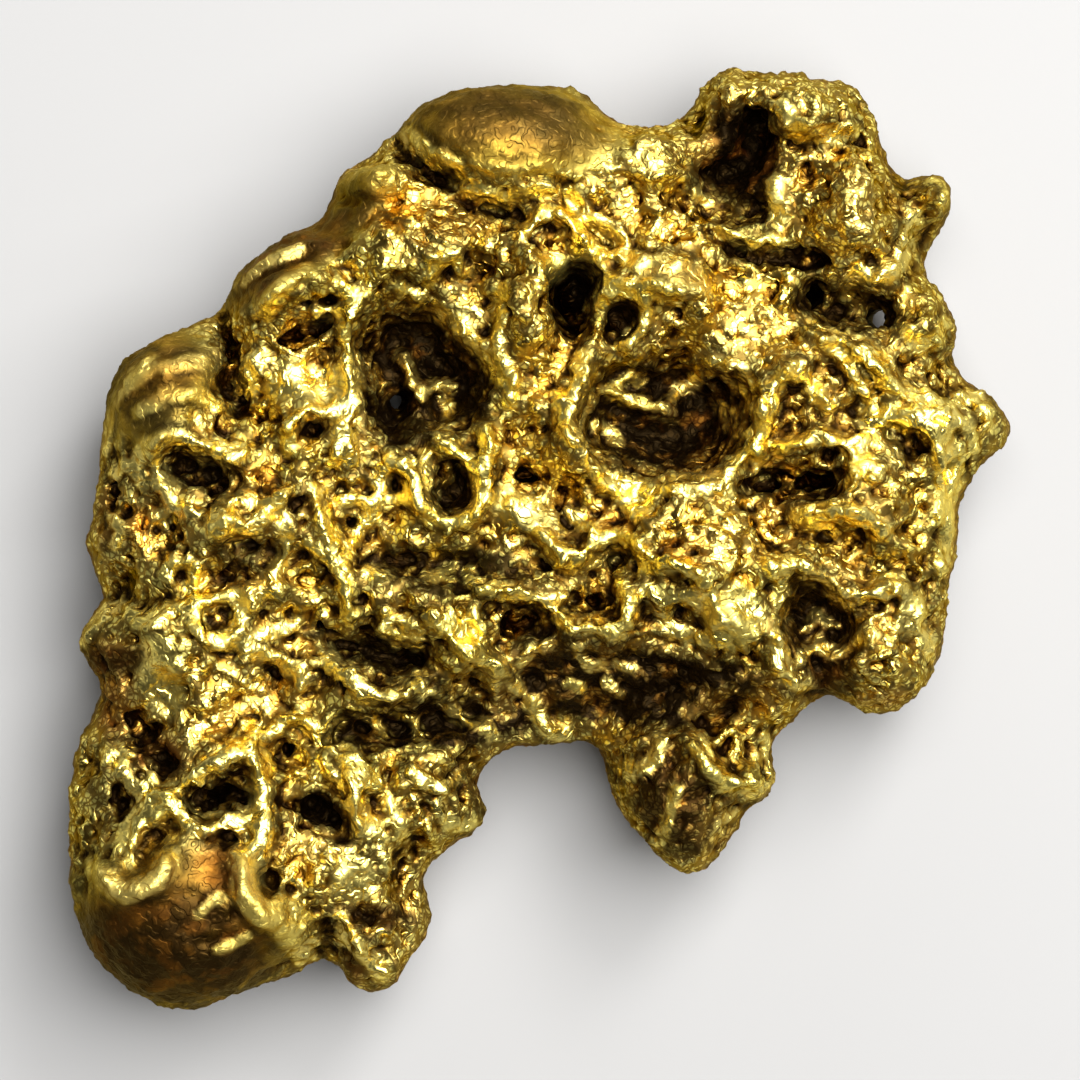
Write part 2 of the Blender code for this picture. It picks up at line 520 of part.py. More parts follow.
def rounded_line(points, half_width, height, path):
    """Height at each point of a rounded ridge, or depth of a crease, that runs along a path."""
    return height * np.exp(-((path_distance(points, path) / half_width) ** 2))


def lumps(points, size):
    """Smooth noise from about -1 to 1 at each point, with lumps of the given size."""
    return np.array([noise.noise(Vector(point) / size) for point in points])


def crests(points, size):
    """Noise from -1 to 0 that peaks in winding crests with rounded pits between them."""
    return -2.0 * np.abs(lumps(points, size)).clip(0.0, 0.5)


def wander(points, size, reach):
    """Shift each point sideways by smooth noise, so that edges drawn with it look natural."""
    level = points * (1.0, 1.0, 0.0)
    moved = points.copy()
    moved[:, 0] += reach * lumps(level + FIRST_FIELD, size)
    moved[:, 1] += reach * lumps(level + SECOND_FIELD, size)
    return moved


def worn_share(points):
    """1 where the skin is worn smooth, 0 on the rough face."""
    share = np.zeros(len(points))
    for x, y, along, across, turn in WORN.values():
        reach = ellipse_reach(points, x, y, along, across, turn)
        share = np.maximum(share, 1.0 - smooth_step(*WORN_FADE, reach))
    return share


def face_relief(points):
    """Height added to the face at each point: hollows, creases and ridges."""
    seen = wander(points, *FACE_BENDS)
    deepest = np.zeros(len(points))
    for hollow in HOLLOWS.values():
        deepest = np.maximum(deepest, bowl(seen, hollow, FACE_FLOOR))
    for crease in CREASES.values():
        deepest = np.maximum(deepest, rounded_line(seen, *crease))
    highest = np.zeros(len(points))
    for ridge in RIDGES.values():
        highest = np.maximum(highest, rounded_line(seen, *ridge))
    return highest - deepest


def back_relief(points):
    """Height added to the back at each point: its broad waves and shallow dents."""
    seen = wander(points, *BACK_BENDS)
    deepest = np.zeros(len(points))
    for dent in BACK_DENTS.values():
        deepest = np.maximum(deepest, bowl(seen, dent, BACK_FLOOR))
    return deepest + WAVE_HEIGHT * lumps(points, WAVE_SIZE)


def add_relief(item):
    """Sink the hollows, raise the ridges and make the skin lumpy, then even the faces out."""
    points, normals = read_points(item.data)
    up = smooth_step(*FACE_RISE, points[:, 2])
    down = 1.0 - smooth_step(*BACK_RISE, points[:, 2])
    rough = (1.0 - worn_share(points)) * smooth_step(*ROUGH_RISE, points[:, 2])
    skin = SWELL + LUMP_HEIGHT * lumps(points, LUMP_SIZE)
    skin += rough * CREST_HEIGHT * crests(points, CREST_SIZE)
    skin += rough * FINE_CREST_HEIGHT * crests(points + FIRST_FIELD, FINE_CREST_SIZE)
    moved = points + normals * skin[:, None]
    moved[:, 2] += up * face_relief(points) + down * back_relief(points)
    write_points(item.data, moved)
    fuse(item, BODY_VOXEL)
    soften(item, SOFTEN_REPEATS)


def hole_cutters(collection):
    """Slanted pins that bore the worn holes."""
    cutters = []
    for name, (x, y, radius, lean) in HOLES.items():
        bm = bmesh.new()
        bmesh.ops.create_cone(bm, cap_ends=True, segments=HOLE_SIDES, radius1=radius * MM,
                              radius2=radius * MM, depth=2.0 * HOLE_HALF_LENGTH * MM)
        mesh = bpy.data.meshes.new(name)
        bm.to_mesh(mesh)
        bm.free()
        cutter = add_object(name, mesh, collection)
        cutter.location = (x * MM, y * MM, PLATE_MIDDLE * MM)
        cutter.rotation_euler.y = math.atan2(lean, PLATE_MIDDLE)
        cutter.hide_render = True
        cutter.display_type = "WIRE"
        cutters.append(cutter)
    return cutters


def bore_holes(item, collection):
    """Cut the worn holes through."""
    for cutter in hole_cutters(collection):
        cut = item.modifiers.new(cutter.name, "BOOLEAN")
        cut.operation = "DIFFERENCE"
        cut.solver = "EXACT"
        cut.object = cutter
    bpy.context.view_layer.update()
    apply_modifiers(item)
    fuse(item, BODY_VOXEL)


def thin_out(item, triangles):
    """Bring a mesh down to about the given number of triangles."""
    triangulate = item.modifiers.new("Triangulate", "TRIANGULATE")
    triangulate.min_vertices = 4
    apply_modifiers(item)
    decimate = item.modifiers.new("Thin out", "DECIMATE")
    decimate.ratio = triangles / len(item.data.polygons)
    decimate.use_collapse_triangulate = True
    apply_modifiers(item)


def seat(item):
    """Wear the back flat where it meets the rest plane, and centre the box over the origin."""
    points, _ = read_points(item.data)
    points[:, 2] = np.maximum(points[:, 2], 0.0)
    middle = (points.min(axis=0) + points.max(axis=0)) / 2.0
    points[:, :2] -= middle[:2]
    write_points(item.data, points)


def build():
    """Make the nugget."""
    clear_scene()
    parts = make_collection("gold nugget")
    cutters = make_collection("cutters")
    nugget = make_plate(parts)
    add_masses(nugget)
    add_relief(nugget)
    bore_holes(nugget, cutters)
    thin_out(nugget, TRIANGLES)
    seat(nugget)
    nugget.data.name = NAME
    nugget.data.materials.clear()
    nugget.data.materials.append(gold_material())
    nugget.data.shade_smooth()


build()
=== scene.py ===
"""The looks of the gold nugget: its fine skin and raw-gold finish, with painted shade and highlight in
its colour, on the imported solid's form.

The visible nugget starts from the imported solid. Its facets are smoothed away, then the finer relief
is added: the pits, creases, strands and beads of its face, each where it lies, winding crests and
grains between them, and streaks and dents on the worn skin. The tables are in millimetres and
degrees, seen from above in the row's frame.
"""

import math

import bmesh
import bpy
import numpy as np
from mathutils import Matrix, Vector, noise
from mathutils.bvhtree import BVHTree


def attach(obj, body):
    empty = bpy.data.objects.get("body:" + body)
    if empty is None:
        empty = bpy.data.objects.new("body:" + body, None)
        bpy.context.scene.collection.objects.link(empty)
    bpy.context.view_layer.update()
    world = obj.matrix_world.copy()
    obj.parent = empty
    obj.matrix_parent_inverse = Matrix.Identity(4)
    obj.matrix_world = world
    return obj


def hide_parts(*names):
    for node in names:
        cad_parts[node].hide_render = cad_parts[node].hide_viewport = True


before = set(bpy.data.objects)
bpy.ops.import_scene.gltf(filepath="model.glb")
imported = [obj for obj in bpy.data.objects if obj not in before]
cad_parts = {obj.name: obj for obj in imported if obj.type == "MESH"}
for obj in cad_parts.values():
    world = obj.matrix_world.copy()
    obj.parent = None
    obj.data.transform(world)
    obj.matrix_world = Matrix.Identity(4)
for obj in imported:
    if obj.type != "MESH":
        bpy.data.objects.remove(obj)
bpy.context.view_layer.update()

MM = 0.001
NODE = "nugget"
PIECE = "gold_nugget"

# How finely the skin is meshed at each stage, and how many triangles it keeps.
SEAM = 0.000002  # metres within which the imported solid's split points are joined
BASE_VOXEL = 0.15
BASE_SOFTENING = (0.5, 5)  # factor, repeats
SKIN_VOXEL = 0.11
TRIANGLES = 195000
BACK_SLOPE = -0.5  # points whose normals' z lies below this belong to the back
BACK_KEPT = 0.25  # share of the plain back's triangles that are kept before the whole is thinned out

# Camera: it looks straight down on the face, and frames a square this wide at the outline's height.
FRAME_WIDTH = 43.2
OUTLINE_HEIGHT = 4.7
LENS = 200.0
SENSOR = 36.0

# Lights: place in metres, side in metres, power in watts. The surround is dim and grey.
LIGHTS = {
    "overhead": ((0.12, 0.07, 0.34), 0.38, 5.2),
    "key": ((0.10, 0.17, 0.20), 0.10, 0.5),
    "rim": ((0.02, 0.26, 0.09), 0.10, 0.15),
}
SURROUND_COLOUR = (0.5, 0.5, 0.5, 1.0)
SURROUND_STRENGTH = 0.09

# Floor: a square this wide, in metres.
FLOOR_SIZE = 2.0
FLOOR_COLOUR = (0.25, 0.247, 0.243, 1.0)
FLOOR_ROUGHNESS = 0.8

# Strands and creases across their width, in half widths: a flat top and a trough on either side.
LINE_REACH = 5.0  # how far from a line its shape is worked out
LINE_TOP = 1.6
LINE_EDGE = 5  # how squarely the top drops to its sides
TROUGH = (0.45, 2.6, 0.8)  # depth, middle, width
LINE_UNEVEN = (0.6, 0.5)  # share by which the width varies, size of the noise

# Pits and beads across their ellipses, where 1 is the ellipse itself.
SPOT_REACH = 1.8
PIT_WALL = (0.35, 1.05)
PIT_COLLAR = (0.3, 1.2, 0.22)  # height, middle, width
BEAD_TROUGH = (0.35, 1.2, 0.2)  # depth, middle, width

# Relief that is pressed in from above. A wander is the size of its noise, and how far it shifts.
STRAND_LIFT = 1.05
PIT_SHARE = 0.7
NAMED_WANDER = (0.6, 0.16)
PIT_WANDER = (0.5, 0.35)
NAMED_UNEVEN = (0.8, 0.6)  # share by which the height varies, size of the noise
NAMED_SLOPE = (0.1, 0.55)  # from none to all of it, by the normal's z
NAMED_RISE = (3.5, 6.0)  # from none to all of it, by the height above the table

# Rough skin: winding crests, finer grooves, and grains that touch.
ROUGH_RISE = (3.0, 6.5)
ROUGH_WANDER = (1.1, 0.35)
CRESTS = (0.22, 1.5, 0.17, 0.35)  # height, size, width, level
CREST_PATCHES = (0.75, 0.6, 3.0)  # mean height, share by which it varies, size of the noise
GROOVES = (0.20, 0.8, 0.13, 0.25)  # depth, size, width, level
GRAINS = (0.42, 0.35)  # size, level
ROUGH_GRAIN = 0.24
PAD_SMOOTHNESS = 0.7
STRAND_WANDER = (0.8, 0.12)
STRAND_SIDE = (1.2, 2.2)
STRAND_SMOOTHNESS = 0.25

# Worn skin: dents and streaks as height and size, and rings of streaks round each worn patch.
WORN_DENTS = ((0.10, 1.1), (0.08, 0.45))
WORN_GRAIN = 0.13
RING_STRETCH = 0.25  # how fast the streaks change along their length
RING_COUNT = 3.4  # how fast they change from a patch's centre to its rim
RING_SIZE = 0.5
RING_HEIGHT = 0.12
RING_FADE = (0.8, 1.2)

# What the material reads from the skin for its painted shade: crests by the skin they stand out of, and
# open sky.
CREST_SPREADS = {"crest_fine": 3, "crest_wide": 40}
SKY = (3, 5, 75.0)  # rings, spokes, degrees from straight up that the rings spread over
OPEN_REACH = 3.0  # how far off the walls of a pit still deepen its painted shade
OPEN_START = 0.03  # how far off the skin the rays start
OPEN_SPREAD = 8

# Where patches, stains and painted shade and highlight fade, by the reach from their centres, slope and
# height of the skin.
PATCH_FADE = (0.7, 1.15)
STAIN_EDGE = 0.5
DIRT_AND_SHADE_EDGE = 0.85
STAIN_END = 1.2
STAIN_WANDER = (1.3, 0.5)
FACE_SLOPE = (-0.4, 0.0)
BACK_RISE = (2.0, 4.0)
# Painted highlight on the up-facing tops of the strands.
BRIGHT_SIDE = (1.3, 2.0)
BRIGHT_SLOPE = (0.2, 0.6)
# Painted shade in the troughs beside the strands.
BESIDE_START = (1.7, 2.4)
BESIDE_END = (2.8, 4.4)
BESIDE_SHADE = 0.8
# Painted shade on the low steep side walls, as brown and near black.
WALL_SLOPE = (0.1, 0.55)
WALL_LEAN = 0.1
WALL_TOP = (4.0, 7.0)
WALL_SHADE_BROWN = 0.85
WALL_SHADE_DARK = 0.7
# Strand tops, under their painted highlight, keep clear of stain and painted shade.
STRAND_OVER_BROWN = 0.8
STRAND_OVER_DIRT_AND_SHADE = 0.9

# Colour of the gold by its relief, as painted shade from its crests down into its cavities, and of its
# worn skin by faint clouds, part patina and part painted shade.
FINE_CREST_WEIGHT = 6.5
OPEN_WEIGHT = 1.6
CLOUD_WEIGHT = 0.4
RELIEF_RANGE = (0.5, 1.45)
# Painted shade: near black where the skin is sunk and closed in, clean gold on open crests.
RELIEF_SHADE_COLOURS = (
    (0.0, (0.018, 0.007, 0.001)),
    (0.25, (0.120, 0.062, 0.008)),
    (0.50, (0.620, 0.390, 0.055)),
    (0.75, (0.970, 0.710, 0.125)),
    (1.0, (1.000, 0.850, 0.220)),
)
# Worn skin and the low back: ochre patina, darkened further as painted shade of the sides turned from
# the light.
WORN_AND_SHADE_COLOURS = (
    (0.34, (0.055, 0.022, 0.003)),
    (0.50, (0.200, 0.110, 0.012)),
    (0.68, (0.560, 0.370, 0.050)),
)
WORN_COVER = 0.9
# Painted highlight: pale gold on the strand tops and the smooth pads.
HIGHLIGHT_GOLD = (1.0, 0.82, 0.22, 1.0)
HIGHLIGHT_COVER = 0.7
COOL_CAST = (0.95, 0.96, 0.84, 1.0)
ORANGE_STAIN = (1.0, 0.66, 0.35, 1.0)
ORANGE_COVER = 0.7
# Brown of the iron stain, and of the painted shade that the stain table and the low walls carry.
BROWN_STAIN_AND_SHADE = (0.36, 0.15, 0.06, 1.0)
# Near black of the dirt and painted shade.
BLACK_DIRT_AND_SHADE = (0.016, 0.008, 0.002, 1.0)
GAP_SHADE = (0.16, 0.08, 0.03, 1.0)

# Noise of the material: scale and detail, and the ranges that it is read over.
CLOUDS = (700.0, 2.0)
WORN_CLOUDS = (450.0, 3.0)
CASTS = (220.0, 1.0)
CAST_RANGE = (0.45, 0.62)
BLOTCHES = (1000.0, 3.0)
BROWN_RANGE = (0.35, 0.6, 0.75, 1.0)
DIRT_AND_SHADE_RANGE = (0.50, 0.62, 1.0, 0.5)
GLOSS_RANGE = (0.3, 0.7, 0.26, 0.46)
WORMS = (2000.0, 1.0)
WORM_RANGE = (0.05, 0.11)
CELLS = 3600.0
CELL_RANGE = (0.03, 0.20)
GAP_DEPTH = 0.85
SMOOTH_GAPS = 0.35
GRIT = (7000.0, 1.0)

# Gloss and bump: grit stands up, and the winding lines sink, by shares of the bump's height.
COVERED_METAL = 0.8
COVERED_ROUGHNESS = 0.2
SPECULAR_LEVEL = 0.3
SPECULAR_TINT = (1.0, 0.80, 0.36, 1.0)
GRIT_BUMP = 0.3
WORM_BUMP = 1.2
BUMP_STRENGTH = 0.55
BUMP_HEIGHT = 0.06

# Where each noise field is read from, far enough apart to be unlike.
FIELDS = {
    "shift x": (31.0, 17.0, 5.0),
    "shift y": (-23.0, 41.0, 67.0),
    "loops": (11.0, -37.0, 19.0),
    "fine loops": (-53.0, 7.0, 29.0),
    "patches": (71.0, 61.0, -13.0),
    "strength": (-41.0, -29.0, 83.0),
    "dents": (5.0, 83.0, -47.0),
    "streaks": (47.0, -71.0, 11.0),
    "grains": (-91.0, 33.0, 57.0),
}

# Skin worn smooth: centre x, y, radii along and across, turn.
WORN = {
    "bulb": (-14.2, -15.2, 4.8, 3.6, 0),
    "north dome": (-1.2, 16.4, 5.0, 2.2, -5),
    "shoulder": (-9.2, 12.0, 4.6, 1.5, 38),
    "west lump": (-15.4, 6.2, 3.0, 2.4, 45),
}

# Strands: half width, height, and the points they run through.
STRANDS = {
    # west lump and shoulder
    "lump rim": (0.16, 0.16, ((-17.4, 3.6), (-17.1, 5.2), (-16.4, 6.3), (-15.4, 7.2))),
    "lump streak": (0.16, 0.16, ((-16.4, 6.0), (-15.2, 6.7), (-14.2, 7.0), (-13.2, 7.0))),
    "lump fold": (0.16, 0.16, ((-15.8, 5.0), (-14.6, 5.7), (-13.4, 5.7), (-12.4, 5.2))),
    "split strand": (0.14, 0.22, ((-11.2, 7.3), (-11.7, 6.6), (-11.9, 6.0))),
    "split twin": (0.14, 0.20, ((-10.9, 7.4), (-11.3, 6.5), (-11.5, 5.8))),
    "shoulder rim": (0.20, 0.22, ((-12.0, 10.2), (-11.0, 10.9), (-9.5, 11.5))),
    "shoulder ledge": (0.22, 0.28, ((-10.9, 9.0), (-10.0, 10.0), (-9.2, 10.5))),
    "star up": (0.18, 0.26, ((-7.2, 9.2), (-7.8, 10.2))),
    "star left": (0.18, 0.26, ((-7.2, 9.2), (-8.1, 8.9), (-9.0, 8.9))),
    "star down": (0.18, 0.26, ((-7.4, 9.1), (-7.7, 8.2), (-7.7, 7.2))),
    "cliff edge": (0.20, 0.28, ((-7.4, 7.2), (-7.3, 5.8), (-7.6, 4.6), (-7.4, 3.2))),
    "cliff fold": (0.16, 0.22, ((-8.0, 5.4), (-7.9, 4.2), (-8.1, 3.1))),
    "pit collar": (0.18, 0.26, ((-9.9, 3.6), (-9.8, 4.6), (-9.1, 5.1), (-8.3, 5.0))),
    # round the west eye and the west pit
    "brow": (0.20, 0.34, ((-15.8, 3.3), (-15.0, 3.9), (-14.0, 3.9), (-13.3, 3.4), (-12.4, 3.1),
                          (-11.6, 3.6))),
    "brow fold": (0.15, 0.24, ((-13.2, 3.7), (-12.5, 3.7), (-11.9, 4.0))),
    "eye corner": (0.16, 0.28, ((-16.9, 2.6), (-16.5, 3.0), (-15.9, 2.8), (-15.7, 2.2))),
    "eye strand": (0.16, 0.34, ((-15.1, 3.2), (-15.0, 2.2), (-14.6, 1.5))),
    "eye tongue": (0.14, 0.24, ((-14.8, 2.7), (-14.5, 2.2))),
    "cheek": (0.20, 0.28, ((-15.2, 0.9), (-14.5, 1.0), (-13.9, 1.3), (-13.5, 1.2))),
    "pit wall": (0.20, 0.30, ((-12.9, 0.4), (-12.6, 1.2), (-12.1, 0.9), (-12.2, 0.1), (-11.5, 0.4),
                              (-10.8, 1.0), (-10.0, 1.9))),
    "pit branch": (0.16, 0.22, ((-12.4, 1.5), (-11.6, 1.7), (-10.9, 1.5))),
    "mass edge": (0.17, 0.26, ((-10.0, 0.9), (-9.9, -0.3), (-10.3, -1.1), (-10.7, -1.5))),
    "spine": (0.20, 0.30, ((-8.7, 2.0), (-8.5, 0.8), (-8.1, -0.1), (-7.7, -0.9), (-7.7, -2.0),
                           (-7.5, -3.0))),
    "spine left": (0.15, 0.22, ((-9.2, -0.2), (-8.5, -0.5), (-7.9, -1.1))),
    "spine right": (0.15, 0.22, ((-7.0, 0.6), (-7.4, -0.3), (-7.8, -0.9))),
    "flank loop": (0.16, 0.22, ((-14.8, -1.4), (-14.5, -0.8), (-13.8, -0.9), (-13.3, -1.5),
                                (-13.9, -1.9))),
    "flank crest": (0.20, 0.28, ((-15.4, -3.2), (-14.4, -2.6), (-13.2, -2.3), (-12.0, -2.0),
                                 (-10.4, -1.9))),
    "hook": (0.20, 0.32, ((-13.5, -2.4), (-13.5, -3.3), (-13.0, -4.0), (-12.3, -4.1), (-11.9, -3.5),
                          (-11.7, -2.7), (-11.2, -2.4))),
    "hook tail": (0.14, 0.24, ((-12.0, -4.1), (-10.8, -3.7), (-9.6, -3.3))),
    "west strand": (0.15, 0.22, ((-16.9, 0.9), (-16.6, 0.4), (-16.8, -0.2))),
    "point edge": (0.18, 0.24, ((-18.3, -3.9), (-17.6, -3.0), (-16.6, -2.6), (-15.8, -3.2))),
    # brow, cavern and column
    "crack lip": (0.20, 0.24, ((-5.2, 16.0), (-4.5, 15.2), (-3.4, 14.6))),
    "dome lip": (0.20, 0.28, ((-3.3, 14.2), (-2.2, 13.5), (-1.4, 13.3))),
    "dome fold": (0.15, 0.22, ((-1.2, 13.5), (-0.3, 13.7), (0.6, 13.8))),
    "neck ridge": (0.18, 0.26, ((1.2, 13.6), (1.6, 12.9), (2.6, 12.2), (3.2, 11.8))),
    "pit collar north": (0.17, 0.26, ((-4.4, 10.1), (-4.2, 10.9), (-3.4, 11.1), (-3.0, 10.5))),
    "cavern brink": (0.20, 0.30, ((-5.4, 9.8), (-4.0, 9.0), (-3.1, 8.3), (-2.2, 7.3), (-1.7, 6.4))),
    "cavern step": (0.18, 0.40, ((-5.6, 7.4), (-5.2, 6.9), (-5.1, 6.2), (-4.7, 5.8), (-4.2, 6.3),
                                 (-3.5, 6.1))),
    "cavern prong": (0.15, 0.34, ((-3.9, 5.6), (-3.6, 5.4), (-3.7, 4.7))),
    "arch": (0.20, 0.34, ((-0.7, 12.1), (0.2, 12.9), (1.2, 12.7), (1.8, 11.8), (1.6, 10.9))),
    "column edge": (0.18, 0.28, ((-1.5, 9.9), (-1.7, 8.3), (-1.6, 7.2), (-1.0, 6.2), (-1.2, 5.4))),
    "column strand": (0.18, 0.28, ((1.7, 7.2), (1.4, 6.0), (0.8, 5.6), (0.8, 4.8))),
    "column node": (0.22, 0.34, ((0.9, 4.4), (1.4, 4.6), (1.5, 5.4), (1.9, 6.6))),
    "ring": (0.18, 0.32, ((2.1, 9.3), (2.9, 9.8), (3.9, 9.6), (4.2, 8.9), (3.8, 8.1), (3.3, 7.7))),
    "bridge": (0.20, 0.30, ((2.1, 11.0), (2.4, 10.1), (4.0, 9.9), (5.3, 9.6))),
    "bridge twin": (0.18, 0.26, ((2.2, 11.3), (3.1, 11.3), (3.9, 10.9), (5.6, 10.9))),
    # east cavern
    "shelf": (0.20, 0.42, ((2.9, 5.9), (3.4, 5.6), (4.2, 5.4), (5.2, 5.0))),
    "shelf flake": (0.15, 0.30, ((3.0, 6.1), (3.6, 6.5), (4.0, 6.3))),
    "shelf end": (0.15, 0.34, ((5.0, 5.4), (5.4, 6.0), (6.2, 6.2), (6.4, 6.9))),
    "floor flake": (0.14, 0.30, ((2.2, 4.6), (2.8, 4.4), (3.1, 3.9))),
    "rim right": (0.22, 0.32, ((6.8, 6.9), (7.6, 6.7), (8.2, 6.0), (8.6, 5.2), (8.9, 4.5), (8.5, 3.6),
                               (8.8, 2.9))),
    "rim prong": (0.16, 0.34, ((7.2, 5.3), (7.6, 5.0), (7.5, 4.5), (8.1, 4.2))),
    "rim low": (0.16, 0.24, ((8.3, 3.5), (7.8, 3.0), (7.2, 2.5), (6.0, 2.5), (4.8, 2.0))),
    "rim under": (0.18, 0.24, ((5.2, 2.1), (6.2, 2.1), (7.2, 2.0), (8.2, 1.6))),
    # loops of the middle
    "loop": (0.22, 0.36, ((-6.3, 1.7), (-6.2, 2.8), (-5.8, 3.3), (-5.1, 2.9), (-4.9, 1.8), (-4.3, 1.0),
                          (-3.4, 0.8), (-2.6, 0.9), (-2.3, 1.6), (-2.3, 2.6), (-2.0, 3.6),
                          (-2.2, 4.3))),
    "loop branch": (0.20, 0.30, ((-3.9, 4.2), (-3.3, 3.6), (-2.8, 3.1), (-2.3, 2.6))),
    "loop lobe": (0.17, 0.26, ((-4.5, 3.3), (-4.6, 2.4), (-4.2, 1.7))),
    "loop foot": (0.17, 0.24, ((-6.2, 1.6), (-5.6, 1.6), (-5.1, 1.7))),
    "left collar": (0.17, 0.26, ((-7.9, 1.6), (-7.2, 1.7), (-6.6, 1.4), (-6.7, 0.6))),
    "long ridge": (0.20, 0.30, ((1.0, 4.3), (1.8, 3.6), (2.2, 2.9), (2.6, 2.1))),
    "heart loop": (0.20, 0.32, ((2.7, 2.0), (3.3, 2.4), (4.1, 2.0), (4.2, 1.3), (3.7, 1.1),
                                (3.1, 2.0))),
    "beak": (0.24, 0.34, ((0.0, 0.2), (0.6, -0.3), (1.3, -0.9), (1.8, -0.7))),
    "beak branch": (0.18, 0.26, ((1.3, 0.9), (1.9, 0.6), (2.3, 0.2))),
    "heart ring": (0.18, 0.30, ((2.1, -0.9), (2.1, -0.3), (2.6, 0.1), (3.3, 0.1), (3.9, -0.4),
                                (4.2, -1.1))),
    "ring bead": (0.17, 0.28, ((2.3, -0.9), (2.6, -0.7), (2.9, -0.5))),
    "heart crest": (0.20, 0.26, ((4.6, -1.0), (5.6, -0.9), (6.2, -1.4), (6.6, -2.2), (6.9, -3.2))),
    "heart fold": (0.18, 0.24, ((4.2, -2.0), (5.0, -2.5), (5.9, -2.2), (6.4, -2.6))),
    "heart root": (0.18, 0.26, ((4.8, -2.9), (5.1, -3.5), (6.0, -3.8), (7.2, -4.0))),
    "shelf west": (0.18, 0.28, ((-2.8, -1.3), (-2.3, -1.9), (-1.8, -1.8))),
    "shelf middle": (0.18, 0.28, ((-1.8, -2.0), (-0.8, -2.1), (0.2, -2.5), (0.9, -2.3))),
    "trench flake": (0.14, 0.34, ((-4.4, -1.5), (-3.8, -1.3), (-3.4, -1.0))),
    "trench bead": (0.20, 0.34, ((-6.7, -1.3), (-6.1, -1.3))),
    "scallop": (0.20, 0.34, ((0.8, -3.0), (1.4, -3.5), (1.9, -3.5), (2.3, -3.3), (2.9, -3.7),
                             (3.4, -3.3), (3.5, -2.4), (3.2, -1.9))),
    "blade left": (0.20, 0.26, ((-4.2, -3.0), (-3.2, -4.2), (-2.2, -5.2), (-1.8, -5.8))),
    "blade right": (0.20, 0.26, ((-3.4, -3.0), (-2.4, -4.0), (-1.5, -4.9), (-0.9, -5.9))),
    "blade thorn": (0.14, 0.30, ((-2.6, -2.9), (-2.3, -3.6), (-2.0, -4.1))),
    "cluster": (0.18, 0.28, ((-6.1, -3.0), (-6.0, -3.7), (-5.7, -4.0))),
    "cluster twin": (0.18, 0.26, ((-5.3, -3.2), (-5.2, -3.9), (-4.9, -4.2), (-4.8, -3.6))),
    # lower slope
    "strand west": (0.20, 0.34, ((-8.3, -4.4), (-8.1, -5.2), (-7.4, -5.2), (-7.0, -6.1), (-6.0, -6.1),
                                 (-5.4, -6.1))),
    "strand east": (0.17, 0.30, ((-5.3, -5.6), (-4.7, -5.4), (-4.6, -6.0), (-4.1, -6.3))),
    "strand far": (0.17, 0.30, ((-11.6, -4.4), (-10.8, -4.5), (-10.1, -4.9), (-9.4, -5.2),
                                (-9.4, -5.8))),
    "slope flake": (0.15, 0.24, ((-0.7, -4.9), (-0.3, -4.4), (0.3, -4.1))),
    "slope thorn": (0.15, 0.26, ((1.5, -4.3), (1.9, -5.0), (2.5, -5.0))),
    "slope chip": (0.14, 0.22, ((3.0, -4.9), (3.6, -5.1))),
    "slope dash": (0.14, 0.22, ((1.2, -5.7), (1.7, -5.9))),
    "slope spur": (0.15, 0.24, ((2.6, -5.7), (3.1, -6.1))),
    "south comb": (0.20, 0.30, ((-0.4, -6.4), (-0.1, -7.0), (0.3, -7.5), (0.9, -7.8))),
    "notch bar": (0.14, 0.26, ((-11.5, -7.3), (-11.1, -7.6), (-10.4, -7.5))),
    "mass bead row": (0.20, 0.28, ((-9.9, -7.1), (-9.3, -7.2), (-8.6, -7.7), (-8.0, -7.2))),
    # blades and rims of the east
    "blade one": (0.20, 0.36, ((10.8, 8.4), (11.6, 7.6), (12.4, 6.6), (13.0, 5.6))),
    "blade two": (0.20, 0.34, ((11.8, 8.0), (13.0, 7.1), (13.6, 6.2), (14.4, 5.9), (15.4, 5.4),
                               (16.4, 4.7))),
    "blade three": (0.18, 0.30, ((10.1, 6.8), (10.9, 5.9), (11.4, 5.2))),
    "blade four": (0.14, 0.24, ((12.6, 7.9), (13.6, 7.0), (14.0, 6.4))),
    "blade five": (0.14, 0.22, ((14.4, 6.2), (15.6, 5.6), (16.2, 5.4))),
    "dimple ring": (0.16, 0.26, ((9.2, 5.2), (9.1, 6.0), (9.7, 6.5), (10.4, 6.3), (10.9, 5.6))),
    "rim outer": (0.26, 0.30, ((13.0, 4.9), (14.1, 4.8), (15.1, 4.7), (15.9, 4.1), (16.4, 3.3),
                               (16.5, 2.4), (16.4, 1.2), (16.3, 0.2), (16.1, -1.0))),
    "rim inner": (0.16, 0.24, ((15.0, 4.6), (15.6, 3.8), (15.8, 2.8), (15.9, 1.6), (15.8, 0.8))),
    "point ridge": (0.18, 0.30, ((16.6, 5.6), (17.2, 5.7), (17.7, 5.2), (17.8, 4.6))),
    "point foot": (0.17, 0.26, ((16.8, 4.6), (17.1, 4.2), (17.2, 3.6))),
    "crease arch": (0.20, 0.30, ((9.4, 3.6), (10.1, 3.9), (11.2, 4.1), (12.0, 3.8), (12.4, 3.1),
                                 (12.3, 2.2))),
    "arch branch": (0.18, 0.26, ((12.2, 3.8), (13.2, 4.1), (13.9, 3.8), (14.1, 3.2))),
    "field loop": (0.15, 0.24, ((12.4, 2.6), (12.9, 3.2), (13.3, 2.8), (13.0, 2.3))),
    "oval arch": (0.22, 0.30, ((10.2, 0.9), (11.0, 1.2), (12.0, 1.2), (12.9, 0.8), (13.5, 0.3))),
    "oval lid": (0.15, 0.24, ((10.7, 0.5), (11.2, 0.7), (11.5, 0.3))),
    "sill": (0.20, 0.34, ((9.0, -0.9), (10.1, -0.8), (10.7, -1.4), (11.5, -1.9), (12.3, -2.4),
                          (13.1, -2.1), (14.2, -1.9))),
